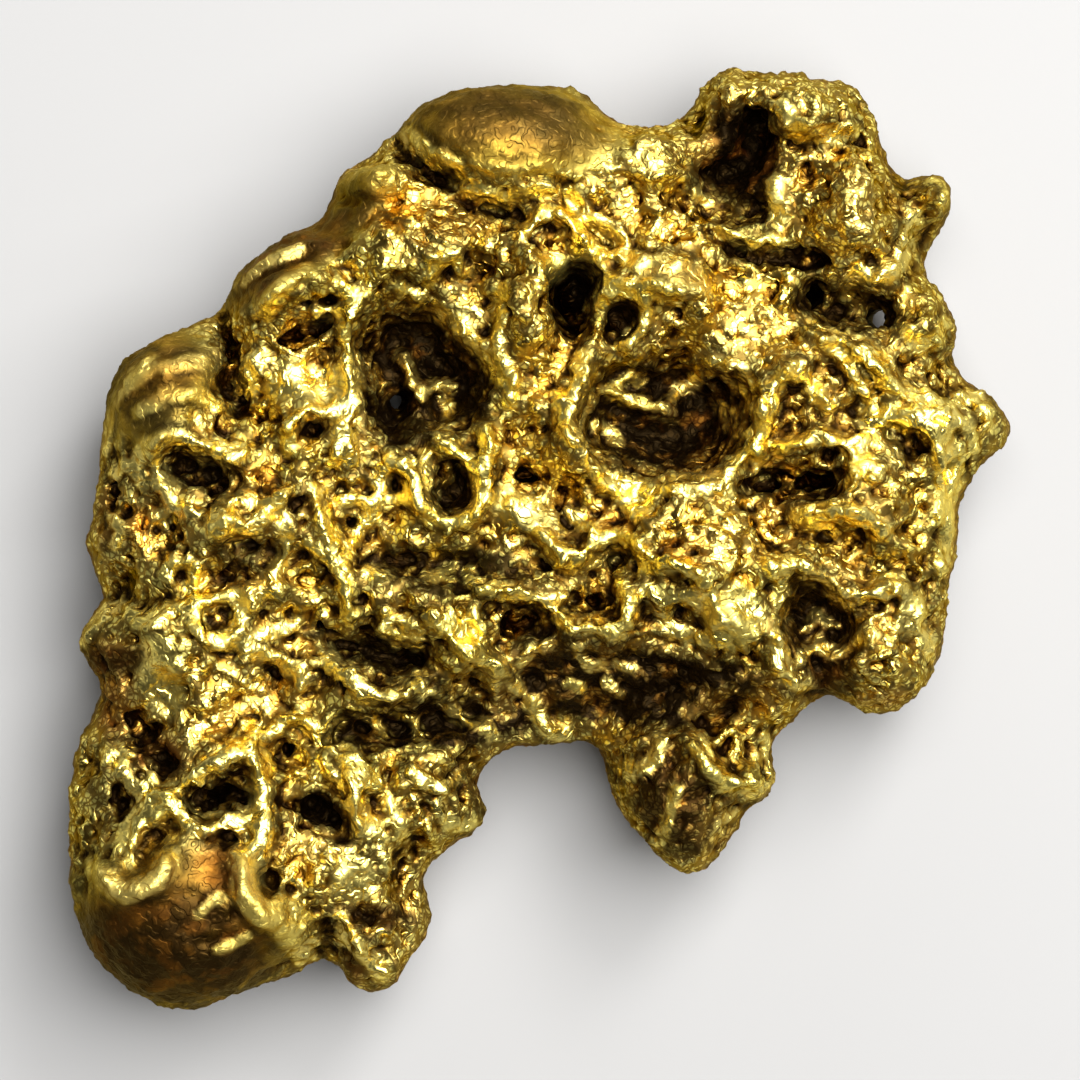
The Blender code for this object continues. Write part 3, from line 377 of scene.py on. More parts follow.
    "sill fork": (0.18, 0.28, ((13.2, -2.0), (13.4, -1.3), (13.9, -1.7))),
    "cave edge": (0.22, 0.34, ((9.4, -1.1), (9.6, -2.0), (9.6, -3.2), (9.4, -4.2), (9.5, -5.1),
                               (10.2, -5.6), (10.6, -5.5))),
    "cave wye": (0.14, 0.32, ((10.6, -3.5), (11.0, -2.9), (11.4, -3.3), (11.7, -3.4))),
    "cave wave": (0.17, 0.38, ((11.0, -4.0), (11.5, -4.5), (12.0, -4.3), (12.4, -4.0), (12.9, -3.8))),
    "cave hook": (0.15, 0.30, ((10.3, -4.8), (10.6, -4.3), (10.9, -4.2))),
    "lump edge": (0.20, 0.28, ((15.0, -2.4), (14.9, -3.4), (15.4, -4.0), (15.7, -4.6))),
    "knuckle": (0.18, 0.28, ((14.4, 8.4), (15.0, 7.6), (15.8, 8.0), (16.2, 8.6))),
    # north-east knob, its neighbours and the ear
    "lump side": (0.20, 0.28, ((9.3, 14.2), (9.2, 13.3), (9.6, 12.6))),
    "lump rim low": (0.22, 0.28, ((12.2, 9.9), (12.6, 10.6), (13.4, 10.4), (14.2, 10.8), (14.6, 11.6),
                                  (14.9, 12.8))),
    "knob rim": (0.18, 0.24, ((9.4, 17.0), (10.0, 16.2), (11.0, 15.9), (12.4, 16.2))),
    "apron ledge": (0.18, 0.26, ((7.2, 12.2), (8.2, 11.7), (8.9, 11.9), (9.4, 11.7))),
    "apron dash": (0.16, 0.24, ((6.2, 13.7), (6.7, 13.4))),
    "ear line": (0.16, 0.22, ((15.1, 14.5), (15.9, 14.6), (16.3, 14.0), (16.0, 13.3))),
    # bulb and south mass
    "bulb arch": (0.26, 0.34, ((-13.4, -9.2), (-12.8, -8.7), (-12.1, -8.3), (-11.4, -8.2),
                               (-10.9, -8.7), (-11.1, -9.6), (-10.9, -10.6), (-10.9, -11.6),
                               (-11.2, -12.1))),
    "ribbon": (0.18, 0.26, ((-14.0, -9.4), (-14.7, -9.9), (-15.4, -10.1), (-15.9, -10.6),
                            (-16.2, -11.3), (-16.5, -11.9))),
    "ribbon twin": (0.15, 0.24, ((-15.6, -10.9), (-15.9, -11.7), (-16.1, -12.6))),
    "ledge": (0.24, 0.30, ((-15.1, -10.9), (-14.4, -10.2), (-14.0, -10.9), (-13.4, -11.3),
                           (-12.4, -11.0), (-11.4, -11.2))),
    "under lip": (0.26, 0.34, ((-17.6, -13.0), (-16.9, -13.5), (-16.3, -13.9), (-15.5, -13.6),
                               (-14.9, -13.3), (-14.6, -12.6))),
    "pit rim": (0.28, 0.34, ((-11.7, -12.3), (-11.7, -13.2), (-11.5, -14.0), (-10.9, -14.7),
                             (-10.2, -15.2), (-9.6, -16.0), (-9.4, -16.6))),
    "pit sole": (0.24, 0.28, ((-10.4, -14.4), (-9.7, -14.4), (-9.3, -15.0), (-9.2, -15.9))),
    "bulb scar": (0.15, 0.14, ((-13.3, -14.6), (-12.9, -14.2), (-12.5, -14.0))),
    "bulb nick": (0.14, 0.12, ((-12.6, -16.1), (-11.9, -15.8), (-11.5, -15.6))),
    "comb one": (0.14, 0.26, ((-8.2, -8.1), (-7.5, -8.9), (-6.7, -9.7))),
    "comb two": (0.14, 0.26, ((-7.6, -8.1), (-7.0, -8.8), (-6.3, -9.6))),
    "comb three": (0.14, 0.24, ((-8.6, -8.8), (-7.9, -9.5), (-7.5, -10.1))),
    "mass blade": (0.22, 0.34, ((-7.5, -9.4), (-7.3, -10.4), (-7.0, -11.4))),
    "finger top": (0.17, 0.28, ((-5.0, -9.1), (-4.4, -9.6), (-3.7, -9.9), (-3.2, -9.4))),
    "finger stem": (0.17, 0.28, ((-4.0, -10.5), (-3.7, -11.2), (-3.2, -11.4), (-2.4, -11.3))),
    "mass veins": (0.14, 0.24, ((-6.1, -10.2), (-5.6, -10.9), (-5.4, -11.8))),
    "mass vein two": (0.14, 0.24, ((-6.6, -11.0), (-6.2, -11.9), (-6.0, -12.9))),
    "toe ridge": (0.22, 0.32, ((-7.9, -15.0), (-7.6, -15.9), (-6.8, -16.4), (-6.3, -17.3))),
    "trench cross": (0.16, 0.50, ((-5.7, -6.8), (-5.0, -7.3), (-4.7, -8.0))),
    "trench fork": (0.15, 0.45, ((-3.7, -6.8), (-3.0, -7.2), (-2.2, -7.3), (-1.8, -7.9))),
    "trench stub": (0.15, 0.40, ((-7.2, -6.9), (-6.5, -7.3), (-6.1, -7.9))),
    "west pebble edge": (0.17, 0.26, ((-17.2, -8.6), (-16.7, -8.3), (-16.3, -8.4))),
    "west ring": (0.16, 0.28, ((-16.6, -9.0), (-16.2, -9.6), (-15.8, -10.0), (-15.4, -9.6),
                               (-15.4, -9.0))),
    # spike
    "spike knob": (0.20, 0.30, ((3.4, -9.1), (4.0, -9.1), (4.6, -8.5), (4.8, -7.9))),
    "spike band": (0.22, 0.36, ((6.2, -7.9), (6.6, -8.7), (7.0, -9.3), (7.5, -9.8), (8.1, -9.9),
                                (9.0, -9.8))),
    "spike edge": (0.16, 0.22, ((9.0, -8.0), (9.3, -8.8), (9.3, -9.8))),
    "spike thorn": (0.15, 0.24, ((8.4, -9.4), (8.6, -8.6))),
    "spike keel": (0.16, 0.20, ((7.0, -11.8), (7.2, -11.2), (7.7, -10.9))),
    "spike crest": (0.16, 0.18, ((4.7, -12.0), (5.1, -11.0), (5.4, -9.8))),
}

# Pits: centre x, y, radii along and across, turn, depth.
PITS = {
    "shoulder pocket": (-9.0, 10.1, 0.3, 0.2, 30, 0.35),
    "star pocket": (-8.2, 9.4, 0.4, 0.3, 0, 0.5),
    "dome pit": (-1.25, 14.3, 0.35, 0.25, 0, 0.4),
    "dome stain": (-1.6, 15.6, 0.25, 0.2, 0, 0.15),
    "ring dimple": (-0.8, 12.9, 0.4, 0.35, 0, 0.35),
    "neck pit": (2.0, 13.0, 0.3, 0.22, 0, 0.35),
    "flank pit": (4.9, 14.2, 0.3, 0.25, 0, 0.35),
    "flank slot": (3.9, 12.5, 0.6, 0.2, 0, 0.3),
    "flank dot": (5.4, 13.6, 0.2, 0.18, 0, 0.25),
    "column pit": (-0.3, 10.5, 0.18, 0.15, 0, 0.3),
    "column dot": (-0.65, 9.95, 0.14, 0.12, 0, 0.25),
    "crater": (3.3, 8.9, 0.5, 0.45, 0, 0.6),
    "brow pit": (-3.7, 10.4, 0.7, 0.35, 45, 0.6),
    "brow dot": (-5.0, 10.5, 0.2, 0.2, 0, 0.3),
    "cavern dark": (-3.0, 5.2, 0.9, 0.6, -40, 0.6),
    "cavern deep": (-5.7, 5.6, 0.6, 0.7, 0, 0.6),
    "knob pit": (11.6, 17.6, 0.25, 0.2, 0, 0.3),
    "lump pit": (11.75, 13.2, 0.2, 0.18, 0, 0.35),
    "ear pocket": (15.4, 12.3, 0.4, 0.3, 0, 0.4),
    "knuckle pit": (14.5, 8.0, 0.25, 0.2, 0, 0.35),
    "knuckle dot": (15.3, 7.9, 0.2, 0.2, 0, 0.3),
    "knuckle low": (16.4, 7.8, 0.2, 0.25, 0, 0.3),
    "point crescent": (17.0, 5.3, 0.5, 0.2, -35, 0.4),
    "rim dark": (7.4, 6.2, 0.5, 0.35, -40, 0.5),
    "small west pit": (-8.9, 4.4, 0.5, 0.4, 0, 0.5),
    "small west pit low": (-8.4, 3.4, 0.3, 0.25, 0, 0.45),
    "cluster pit": (-13.2, 4.8, 0.25, 0.4, 0, 0.35),
    "cheek pit": (-14.4, 0.6, 0.35, 0.35, 0, 0.5),
    "eye outer": (-16.4, 2.6, 0.4, 0.25, -20, 0.4),
    "grey pit": (-9.3, 1.4, 0.45, 0.4, 0, 0.4),
    "grey pit low": (-9.3, 0.6, 0.4, 0.35, 0, 0.4),
    "round pit": (-7.6, 0.8, 0.4, 0.35, 0, 0.5),
    "node pit": (-7.6, 2.5, 0.35, 0.25, 10, 0.45),
    "oval pit": (-5.5, 2.3, 0.35, 0.55, 0, 0.5),
    "loop pit": (-3.2, 1.9, 0.35, 0.5, 0, 0.7),
    "loop dot": (-3.8, 2.9, 0.18, 0.2, 0, 0.35),
    "left pit": (-5.8, 0.8, 0.5, 0.3, 10, 0.4),
    "wedge": (-0.6, 2.55, 0.7, 0.25, -25, 0.5),
    "wedge dot": (0.9, 2.5, 0.4, 0.18, 0, 0.35),
    "lump gap": (0.2, 0.7, 0.35, 0.2, -20, 0.3),
    "trench head": (-0.9, 0.15, 0.45, 0.25, -20, 0.5),
    "trench west": (-5.6, -0.7, 1.2, 0.35, 15, 0.5),
    "trench middle": (-3.4, -1.7, 0.8, 0.35, -20, 0.5),
    "column slot": (1.7, 4.9, 0.3, 0.5, 0, 0.5),
    "column eye": (1.2, 5.5, 0.25, 0.25, 0, 0.35),
    "heart ring": (2.8, -0.8, 0.5, 0.4, 20, 0.55),
    "heart pit": (5.3, -1.35, 0.4, 0.28, 0, 0.4),
    "gap south": (0.1, -1.0, 0.5, 0.3, -30, 0.4),
    "scallop hollow": (2.5, -2.5, 0.6, 0.4, 0, 0.4),
    "heart dark": (5.5, 0.7, 0.3, 0.5, 15, 0.45),
    "heart slot": (6.9, 0.7, 0.6, 0.3, -30, 0.4),
    "crease pit": (11.4, 3.4, 0.4, 0.3, 0, 0.5),
    "rim pocket": (13.9, 4.5, 0.5, 0.2, -5, 0.5),
    "rim pocket low": (14.9, 3.8, 0.5, 0.3, -35, 0.5),
    "field pit": (15.3, 2.3, 0.3, 0.25, 0, 0.4),
    "field pit low": (15.1, 1.25, 0.4, 0.25, 0, 0.5),
    "edge pit": (15.1, -0.8, 0.3, 0.22, 0, 0.4),
    "edge slot": (15.6, -1.7, 0.4, 0.2, -10, 0.5),
    "oval pit east": (11.2, 0.2, 0.5, 0.2, -15, 0.5),
    "oval groove": (12.4, -0.3, 1.0, 0.15, -5, 0.4),
    "oval groove low": (12.6, -0.8, 0.6, 0.15, 5, 0.4),
    "sill pit": (12.2, -1.7, 0.2, 0.3, 0, 0.35),
    "top slot": (9.5, -1.3, 0.3, 0.35, 0, 0.5),
    "blade gap": (12.6, 5.7, 0.3, 0.2, -40, 0.45),
    "blade gap high": (11.5, 7.2, 0.8, 0.14, -45, 0.4),
    "west dot": (-12.7, -5.3, 0.35, 0.25, 0, 0.4),
    "speckled": (-10.3, -5.4, 0.5, 0.6, 0, 0.5),
    "chain pit": (-7.7, -5.4, 0.4, 0.2, 0, 0.4),
    "chain pit east": (-6.3, -5.5, 0.3, 0.35, 0, 0.4),
    "bar pit": (-4.2, -6.7, 0.6, 0.25, 0, 0.4),
    "hook pit": (-12.3, -3.1, 0.35, 0.6, 0, 0.5),
    "gap pit": (-7.0, -2.4, 0.5, 0.4, 0, 0.5),
    "gap pit east": (-5.5, -2.8, 0.4, 0.25, 0, 0.4),
    "bulb hollow": (-13.1, -10.3, 0.8, 0.4, 15, 0.6),
    "bulb hollow east": (-11.8, -10.1, 0.4, 0.4, 0, 0.4),
    "under hollow": (-12.0, -11.8, 0.8, 0.3, -15, 0.35),
    "ledge pit": (-15.1, -11.6, 0.4, 0.3, 0, 0.4),
    "lip pit": (-15.6, -12.5, 0.4, 0.3, 10, 0.45),
    "bulb pit": (-10.6, -13.4, 0.5, 0.7, -20, 0.9),
    "bulb pit tail": (-9.8, -13.8, 0.4, 0.25, -20, 0.5),
    "south pit": (-9.0, -10.5, 0.7, 0.3, -20, 0.6),
    "south pit east": (-7.9, -11.2, 0.4, 0.7, 30, 0.7),
    "ring pit": (-15.8, -9.3, 0.3, 0.35, 0, 0.5),
    "rough pit": (-16.6, -10.5, 0.4, 0.7, 10, 0.7),
    "toe dark": (-6.9, -14.9, 1.0, 0.25, -3, 0.6),
    "toe dark east": (-5.6, -14.8, 0.5, 0.4, 0, 0.5),
    "spike dot": (3.7, -9.3, 0.25, 0.2, 0, 0.4),
    "spike pit": (7.3, -8.3, 0.5, 0.4, -20, 0.5),
    "speck socket": (3.6, -7.5, 0.4, 0.15, 0, 0.35),
    "base dark": (6.6, -7.3, 1.0, 0.35, 0, 0.5),
    "corner dark": (11.4, -5.3, 0.7, 0.4, 0, 0.5),
}

# Beads: rounded grains and pads that stand proud: centre x, y, radii along and across, turn, height.
BEADS = {
    "bright knob": (-6.2, 14.7, 0.7, 0.5, 35, 0.30),
    "shoulder node": (-8.9, 8.9, 0.3, 0.25, 0, 0.25),
    "lump pad": (-11.3, 5.4, 0.35, 0.35, 0, 0.30),
    "lump pad low": (-11.4, 4.5, 0.35, 0.4, 0, 0.30),
    "lump bead": (-14.0, 4.6, 0.45, 0.35, 20, 0.30),
    "lump bead west": (-14.9, 4.4, 0.35, 0.25, 0, 0.22),
    "column head": (0.5, 10.8, 0.6, 0.6, 0, 0.32),
    "column pad": (0.3, 7.2, 0.45, 0.35, -20, 0.22),
    "column drop": (-0.6, 6.0, 0.17, 0.4, 0, 0.30),
    "column bead": (1.0, 7.2, 0.2, 0.2, 0, 0.22),
    "column grain": (0.4, 4.6, 0.3, 0.2, 0, 0.25),
    "neck facet": (1.4, 9.5, 0.3, 0.25, 0, 0.35),
    "crater bead": (2.3, 8.4, 0.35, 0.4, 0, 0.32),
    "bridge bead": (4.5, 7.8, 0.35, 0.3, 0, 0.28),
    "bridge bead east": (5.3, 8.5, 0.35, 0.3, 0, 0.28),
    "bridge bead far": (6.5, 9.0, 0.4, 0.3, 0, 0.28),
    "cavern bead": (-4.7, 6.8, 0.3, 0.25, 0, 0.35),
    "cavern flake": (-6.0, 6.9, 0.3, 0.15, -40, 0.35),
    "shelf bead": (2.3, 6.2, 0.2, 0.45, 0, 0.30),
    "valley bead": (9.5, 9.5, 0.4, 0.55, 0, 0.30),
    "valley bead east": (11.6, 9.6, 0.25, 0.4, 0, 0.30),
    "valley bead west": (8.2, 10.2, 0.35, 0.3, 0, 0.25),
    "valley bead low": (8.9, 9.0, 0.3, 0.3, 0, 0.25),
    "knuckle bead": (15.1, 9.0, 0.35, 0.3, 0, 0.30),
    "knuckle bead low": (15.6, 8.3, 0.3, 0.25, 0, 0.25),
    "ear bead": (15.8, 14.0, 0.6, 0.55, 0, 0.25),
    "point bead": (18.4, 5.1, 0.25, 0.3, 0, 0.25),
    "point bead low": (17.6, 4.5, 0.25, 0.25, 0, 0.25),
    "rim bead": (8.4, 2.6, 0.35, 0.3, 0, 0.30),
    "rim bead east": (9.2, 2.8, 0.3, 0.25, 0, 0.30),
    "crease bead": (10.2, 2.6, 0.25, 0.3, -20, 0.25),
    "crease bead mid": (11.0, 2.9, 0.2, 0.2, 0, 0.25),
    "cliff bead": (-6.2, -3.5, 0.35, 0.4, 0, 0.32),
    "cliff bead east": (-4.9, -2.4, 0.4, 0.45, 0, 0.28),
    "trench bead": (-6.2, -1.3, 0.4, 0.15, 15, 0.30),
    "pit bead": (-12.5, 0.6, 0.5, 0.4, 0, 0.30),
    "flank bead": (-14.4, -0.7, 0.3, 0.3, 0, 0.28),
    "flank bead low": (-14.6, -1.7, 0.35, 0.3, -40, 0.28),
    "flank bead east": (-13.5, -0.4, 0.3, 0.3, 0, 0.25),
    "heart bead": (5.45, 0.95, 0.3, 0.25, 0, 0.35),
    "heart bead low": (4.7, 0.1, 0.22, 0.35, 0, 0.28),
    "heart pad": (3.25, 2.0, 0.4, 0.35, 0, 0.30),
    "field pad": (10.6, -0.5, 0.5, 0.35, 20, 0.26),
    "field pad high": (13.6, 1.4, 0.4, 0.35, 0, 0.26),
    "field pad east": (14.5, -0.2, 0.5, 0.55, 0, 0.24),
    "field pad low": (15.0, -1.2, 0.4, 0.3, 0, 0.24),
    "corner bead": (13.3, -5.4, 0.35, 0.3, 0, 0.32),
    "corner bead east": (13.9, -5.2, 0.3, 0.35, 0, 0.32),
    "corner bead low": (12.9, -5.9, 0.25, 0.2, 0, 0.28),
    "corner bead west": (12.8, -5.1, 0.25, 0.2, 0, 0.28),
    "sail": (14.6, -2.9, 0.7, 0.9, -20, 0.28),
    "white bead": (-9.6, -7.1, 0.35, 0.25, 0, 0.32),
    "mass bead": (-8.6, -7.3, 0.6, 0.4, -10, 0.30),
    "row bead": (-4.7, -5.7, 0.2, 0.3, 0, 0.30),
    "slope bead": (3.8, -5.5, 0.4, 0.3, -30, 0.24),
    "south bead": (-8.3, -12.6, 0.4, 0.35, 0, 0.30),
    "south bead low": (-8.8, -13.3, 0.5, 0.45, 0, 0.32),
    "south pad": (-7.4, -13.2, 0.7, 0.9, 0, 0.28),
    "patch pad": (-10.3, -9.4, 0.4, 0.35, 0, 0.28),
    "patch pad low": (-9.5, -10.1, 0.5, 0.3, 0, 0.25),
    "finger bead": (-4.7, -10.8, 0.35, 0.3, 0, 0.28),
    "finger bead low": (-4.5, -11.5, 0.25, 0.2, 0, 0.28),
    "finger bead east": (-2.5, -10.8, 0.2, 0.2, 0, 0.25),
    "finger tip": (-2.4, -11.3, 0.3, 0.2, 0, 0.25),
    "toe oval": (-6.0, -16.6, 0.5, 0.95, -8, 0.35),
    "toe bead": (-7.0, -15.2, 0.25, 0.35, 0, 0.28),
    "toe bead west": (-7.6, -15.5, 0.25, 0.35, 0, 0.25),
    "little toe": (-4.8, -15.2, 0.4, 0.35, 30, 0.30),
    "spike bead": (3.5, -8.3, 0.25, 0.25, 0, 0.25),
    "spike bead high": (4.0, -8.0, 0.25, 0.2, 0, 0.25),
    "spike bead low": (3.9, -8.7, 0.25, 0.2, 0, 0.25),
    "lip bead": (-16.9, -12.9, 0.5, 0.45, -20, 0.32),
    "rough bead": (-17.1, -7.7, 0.2, 0.15, 0, 0.28),
    "rough bead high": (-18.0, -8.2, 0.2, 0.2, 0, 0.28),
    "rough bead west": (-18.4, -8.8, 0.25, 0.2, 0, 0.25),
}

# Creases: half width, depth, and the points they run through.
CREASES = {
    "lump crease": (0.22, 0.5, ((-12.7, 8.9), (-12.4, 7.8), (-12.2, 7.0), (-12.4, 6.2), (-11.8, 5.6))),
    "shoulder band": (0.25, 0.3, ((-11.9, 9.3), (-11.2, 10.2), (-10.2, 10.9), (-9.2, 11.2))),
    "slot": (0.22, 0.5, ((-9.9, 8.0), (-9.0, 8.3), (-8.0, 8.6))),
    "crack": (0.22, 0.6, ((-5.7, 15.7), (-5.1, 15.0), (-4.2, 14.4), (-3.2, 14.2))),
    "knob crease": (0.18, 0.4, ((-8.5, 13.7), (-7.8, 13.6), (-7.0, 13.4))),
    "dome line": (0.12, 0.2, ((1.5, 17.9), (2.2, 17.2), (2.8, 16.7))),
    "dome line twin": (0.12, 0.18, ((1.1, 17.6), (1.9, 16.9), (2.4, 16.3))),
    "lip line": (0.15, 0.35, ((-3.0, 13.1), (-2.2, 13.2), (-1.4, 13.0))),
    "lip line east": (0.13, 0.3, ((-0.6, 14.2), (0.1, 14.3), (0.8, 14.1))),
    "neck crease": (0.18, 0.4, ((0.9, 13.9), (1.2, 13.3), (1.8, 12.4), (3.0, 11.7))),
    "knob crack": (0.16, 0.4, ((11.0, 16.3), (12.0, 15.9), (12.8, 15.8))),
    "knob crack low": (0.16, 0.4, ((9.9, 15.7), (10.8, 15.5), (11.4, 15.6), (12.0, 15.2))),
    "knob crack high": (0.15, 0.35, ((9.2, 17.6), (9.8, 18.0))),
    "groove": (0.2, 0.5, ((6.8, 12.1), (8.2, 11.2), (9.5, 11.2), (11.2, 11.1))),
    "ear line": (0.12, 0.3, ((15.1, 14.2), (16.0, 14.3))),
    "ear line low": (0.12, 0.3, ((15.0, 13.3), (15.6, 13.0))),
    "blade groove": (0.15, 0.45, ((10.7, 7.6), (11.2, 6.9), (11.9, 6.1))),
    "blade groove east": (0.14, 0.4, ((11.6, 7.6), (12.5, 6.9), (13.2, 6.1))),
    "crease east": (0.22, 0.5, ((8.0, 2.1), (9.4, 2.3), (10.5, 2.3), (11.8, 2.5))),
    "edge crease": (0.15, 0.4, ((13.4, -0.9), (14.2, -1.1), (14.8, -1.4))),
    "rim line": (0.1, 0.25, ((15.7, 4.3), (16.1, 3.4), (16.2, 2.2), (16.1, 0.6))),
    "bulb crease": (0.3, 0.5, ((-15.9, -7.4), (-15.3, -8.4), (-14.6, -9.2))),
    "bulb tuck": (0.15, 0.4, ((-16.3, -11.4), (-16.4, -12.0), (-16.2, -12.7))),
    "bulb fold": (0.18, 0.2, ((-12.0, -12.6), (-12.2, -13.8), (-11.8, -14.8))),
    "bulb scratch": (0.12, 0.14, ((-13.4, -15.8), (-12.4, -15.6), (-11.9, -15.8))),
    "trench line": (0.18, 0.45, ((-8.6, -3.5), (-7.4, -4.3), (-6.2, -4.7), (-4.6, -4.8))),
    "point line": (0.15, 0.4, ((-17.6, -3.9), (-16.8, -3.9), (-16.0, -3.8))),
    "west slit": (0.18, 0.4, ((-16.8, 2.0), (-16.9, 1.4), (-16.4, 1.2))),
    "blade line": (0.1, 0.25, ((-4.0, -3.9), (-3.0, -4.9))),
}

# Pads of smooth skin amid the roughness, with a painted highlight: centre x, y, radii along and across,
# turn.
PADS = {
    "west shelf": (-9.0, 6.1, 1.9, 1.0, -5),
    "middle lump": (-0.9, 1.3, 1.4, 0.8, -15),
    "flat blade": (-2.6, -4.4, 2.2, 0.5, -42),
    "heart corner": (7.6, -3.0, 1.2, 1.2, 0),
    "west sail": (-15.0, -5.4, 1.0, 1.7, 10),
    "column head": (0.5, 10.8, 0.7, 0.7, 0),
    "bridge band": (5.4, 10.4, 1.6, 0.7, -12),
    "south pad": (-7.4, -13.2, 0.8, 1.0, 0),
    "east rim": (16.2, 2.0, 0.5, 2.6, 0),
    "bulb arch": (-11.0, -10.4, 0.5, 1.8, 0),
    "pit rim": (-11.5, -13.4, 0.5, 1.5, 0),
    "sail": (14.6, -2.9, 0.7, 1.1, -20),
}

# Red-brown iron stain, which on the slopes, sides and caves turned from the light is painted shade too:
# centre x, y, radii along and across, turn, strength.
BROWN = {
    "bulb": (-14.6, -16.0, 5.0, 3.0, 0, 0.9),
    "bulb crease": (-15.0, -8.6, 1.6, 0.9, -45, 0.9),
    "bulb side": (-12.8, -13.1, 1.6, 1.8, 0, 0.9),
    "spike": (5.2, -10.2, 1.6, 2.4, 12, 0.9),
    "spike foot": (6.6, -11.8, 1.6, 1.4, 0, 0.5),
    "west point": (-17.2, -4.8, 1.4, 0.9, 0, 0.9),
    "west edge": (-16.9, -6.4, 0.9, 1.9, 0, 0.8),
    "west flank": (-17.2, 1.2, 0.7, 1.8, 0, 0.6),
    "toe": (-7.3, -16.8, 0.9, 1.0, 0, 0.8),
    "toe band": (-6.6, -14.9, 1.8, 0.5, -4, 0.8),
    "slope": (2.4, -5.6, 5.6, 1.7, 0, 0.75),
    "slope east": (7.6, -6.2, 2.8, 1.2, 0, 0.55),
    "lower trench": (-5.0, -7.4, 4.4, 1.0, 4, 0.7),
    "north dome": (-2.0, 16.6, 4.6, 1.7, -5, 0.55),
    "shoulder": (-10.2, 11.2, 3.4, 1.3, 38, 0.9),
    "lump": (-15.6, 6.8, 2.2, 1.4, 45, 0.5),
    "cave": (8.0, 15.2, 1.8, 2.0, 0, 1.0),
    "east cavern": (5.3, 4.8, 3.0, 2.2, 0, 0.85),
    "west cavern": (-4.6, 6.7, 2.8, 1.9, -42, 0.85),
    "south-east cave": (11.2, -3.6, 1.5, 2.2, 10, 0.85),
    "cave drain": (11.4, -5.4, 1.2, 0.8, 0, 0.9),
    "corner": (13.6, -6.4, 1.6, 0.7, 0, 0.6),
}

# Near-black dirt and painted shade of the deep places and of the slopes and sides turned from the
# light: as the stains above.
DIRT_AND_SHADE = {
    "west cavern": (-4.2, 6.7, 2.9, 1.7, -42, 1.0),
    "west cavern low": (-5.3, 4.8, 1.5, 1.5, 0, 0.95),
    "east cavern": (4.6, 4.8, 2.7, 2.1, 0, 1.0),
    "deep hole": (1.9, 10.3, 0.7, 1.1, 0, 1.0),
    "crater": (3.3, 8.9, 0.6, 0.5, 0, 0.8),
    "north-east cave": (8.0, 15.2, 1.1, 2.0, 5, 1.0),
    "north-east gully": (7.6, 13.6, 1.8, 1.1, -25, 0.9),
    "north-east drain": (8.3, 12.3, 1.5, 0.7, -35, 0.7),
    "valley hole": (10.7, 9.8, 0.6, 0.9, 0, 0.9),
    "valley": (12.6, 8.9, 1.8, 0.8, -10, 0.8),
    "groove": (9.0, 11.3, 2.4, 0.4, 0, 0.7),
    "south-east cave": (11.0, -3.6, 1.3, 2.1, 10, 0.95),
    "slope": (3.7, -5.8, 5.3, 1.6, 0, 1.0),
    "slope west": (0.6, -4.2, 2.0, 0.9, 0, 0.9),
    "middle trench": (-3.5, -1.2, 3.5, 1.1, -5, 0.95),
    "diagonal trench": (-6.4, -4.8, 3.2, 0.9, -22, 0.95),
    "lower trench": (-4.3, -7.2, 5.0, 1.2, 3, 1.0),
    "lower middle": (-6.8, -6.0, 2.6, 0.6, 0, 0.6),
    "west eye": (-13.6, 2.7, 1.9, 0.7, -8, 0.95),
    "west pit": (-11.4, -0.5, 1.5, 0.7, 0, 0.9),
    "loop hollow": (-3.3, 2.0, 0.6, 0.7, 0, 0.8),
    "bulb hollow": (-12.6, -10.2, 1.5, 0.7, 0, 0.85),
    "bulb crease": (-15.0, -8.6, 1.6, 0.5, -45, 0.8),
    "bulb foot": (-15.2, -17.0, 4.8, 2.2, -8, 0.92),
    "bulb cheek": (-14.8, -15.4, 3.2, 1.6, 0, 0.78),
    "dome": (-2.4, 17.4, 4.2, 0.8, -4, 0.6),
    "shoulder": (-10.4, 11.3, 3.2, 0.8, 38, 0.65),
    "lump rim": (-16.6, 6.6, 2.0, 0.6, 50, 0.5),
    "bulb edge": (-18.2, -14.6, 0.9, 2.6, 12, 0.7),
    "rough west": (-16.8, -10.5, 1.0, 1.8, 10, 0.7),
    "west point": (-17.2, -4.9, 1.5, 0.7, 0, 0.8),
    "south pit": (-8.4, -10.9, 1.6, 0.7, -35, 1.0),
    "toe band": (-6.6, -14.9, 1.7, 0.4, -4, 0.9),
    "toe": (-7.4, -16.8, 0.7, 0.9, 0, 0.6),
    "spike": (5.3, -10.4, 1.6, 2.3, 12, 0.88),
    "spike foot": (6.9, -10.8, 1.0, 0.9, 0, 0.7),
    "corner": (11.6, -5.6, 1.4, 0.7, 0, 0.8),
}

# Thin orange stain on bright gold: as the stains above.
ORANGE = {
    "lump": (-14.6, 6.2, 1.6, 0.9, 25, 0.8),
    "flank": (-15.7, 0.6, 0.7, 0.9, 0, 1.0),
    "eye floor": (-11.0, 2.6, 1.0, 0.6, 0, 0.6),
    "heart": (5.7, -0.4, 0.9, 0.8, 0, 0.8),
    "heart west": (2.9, 0.8, 0.9, 0.4, -15, 0.8),
    "knob band": (-6.6, 12.8, 1.8, 0.6, 0, 0.6),
    "bridge": (5.4, 10.5, 1.7, 0.6, -10, 0.7),
    "trench": (-11.4, -1.6, 1.8, 0.4, 5, 0.6),
    "dome foot": (-3.4, 12.4, 1.6, 0.6, 20, 0.4),
    "sill": (6.3, 2.9, 1.2, 0.4, 0, 0.6),
    "crease": (9.4, 1.6, 1.4, 0.4, 0, 0.5),
    "saddle": (0.2, -4.6, 0.9, 0.6, 30, 0.6),
}


def add_object(name, data):
    """Link new object data to the scene."""
    item = bpy.data.objects.new(name, data)
    bpy.context.scene.collection.objects.link(item)
    return item


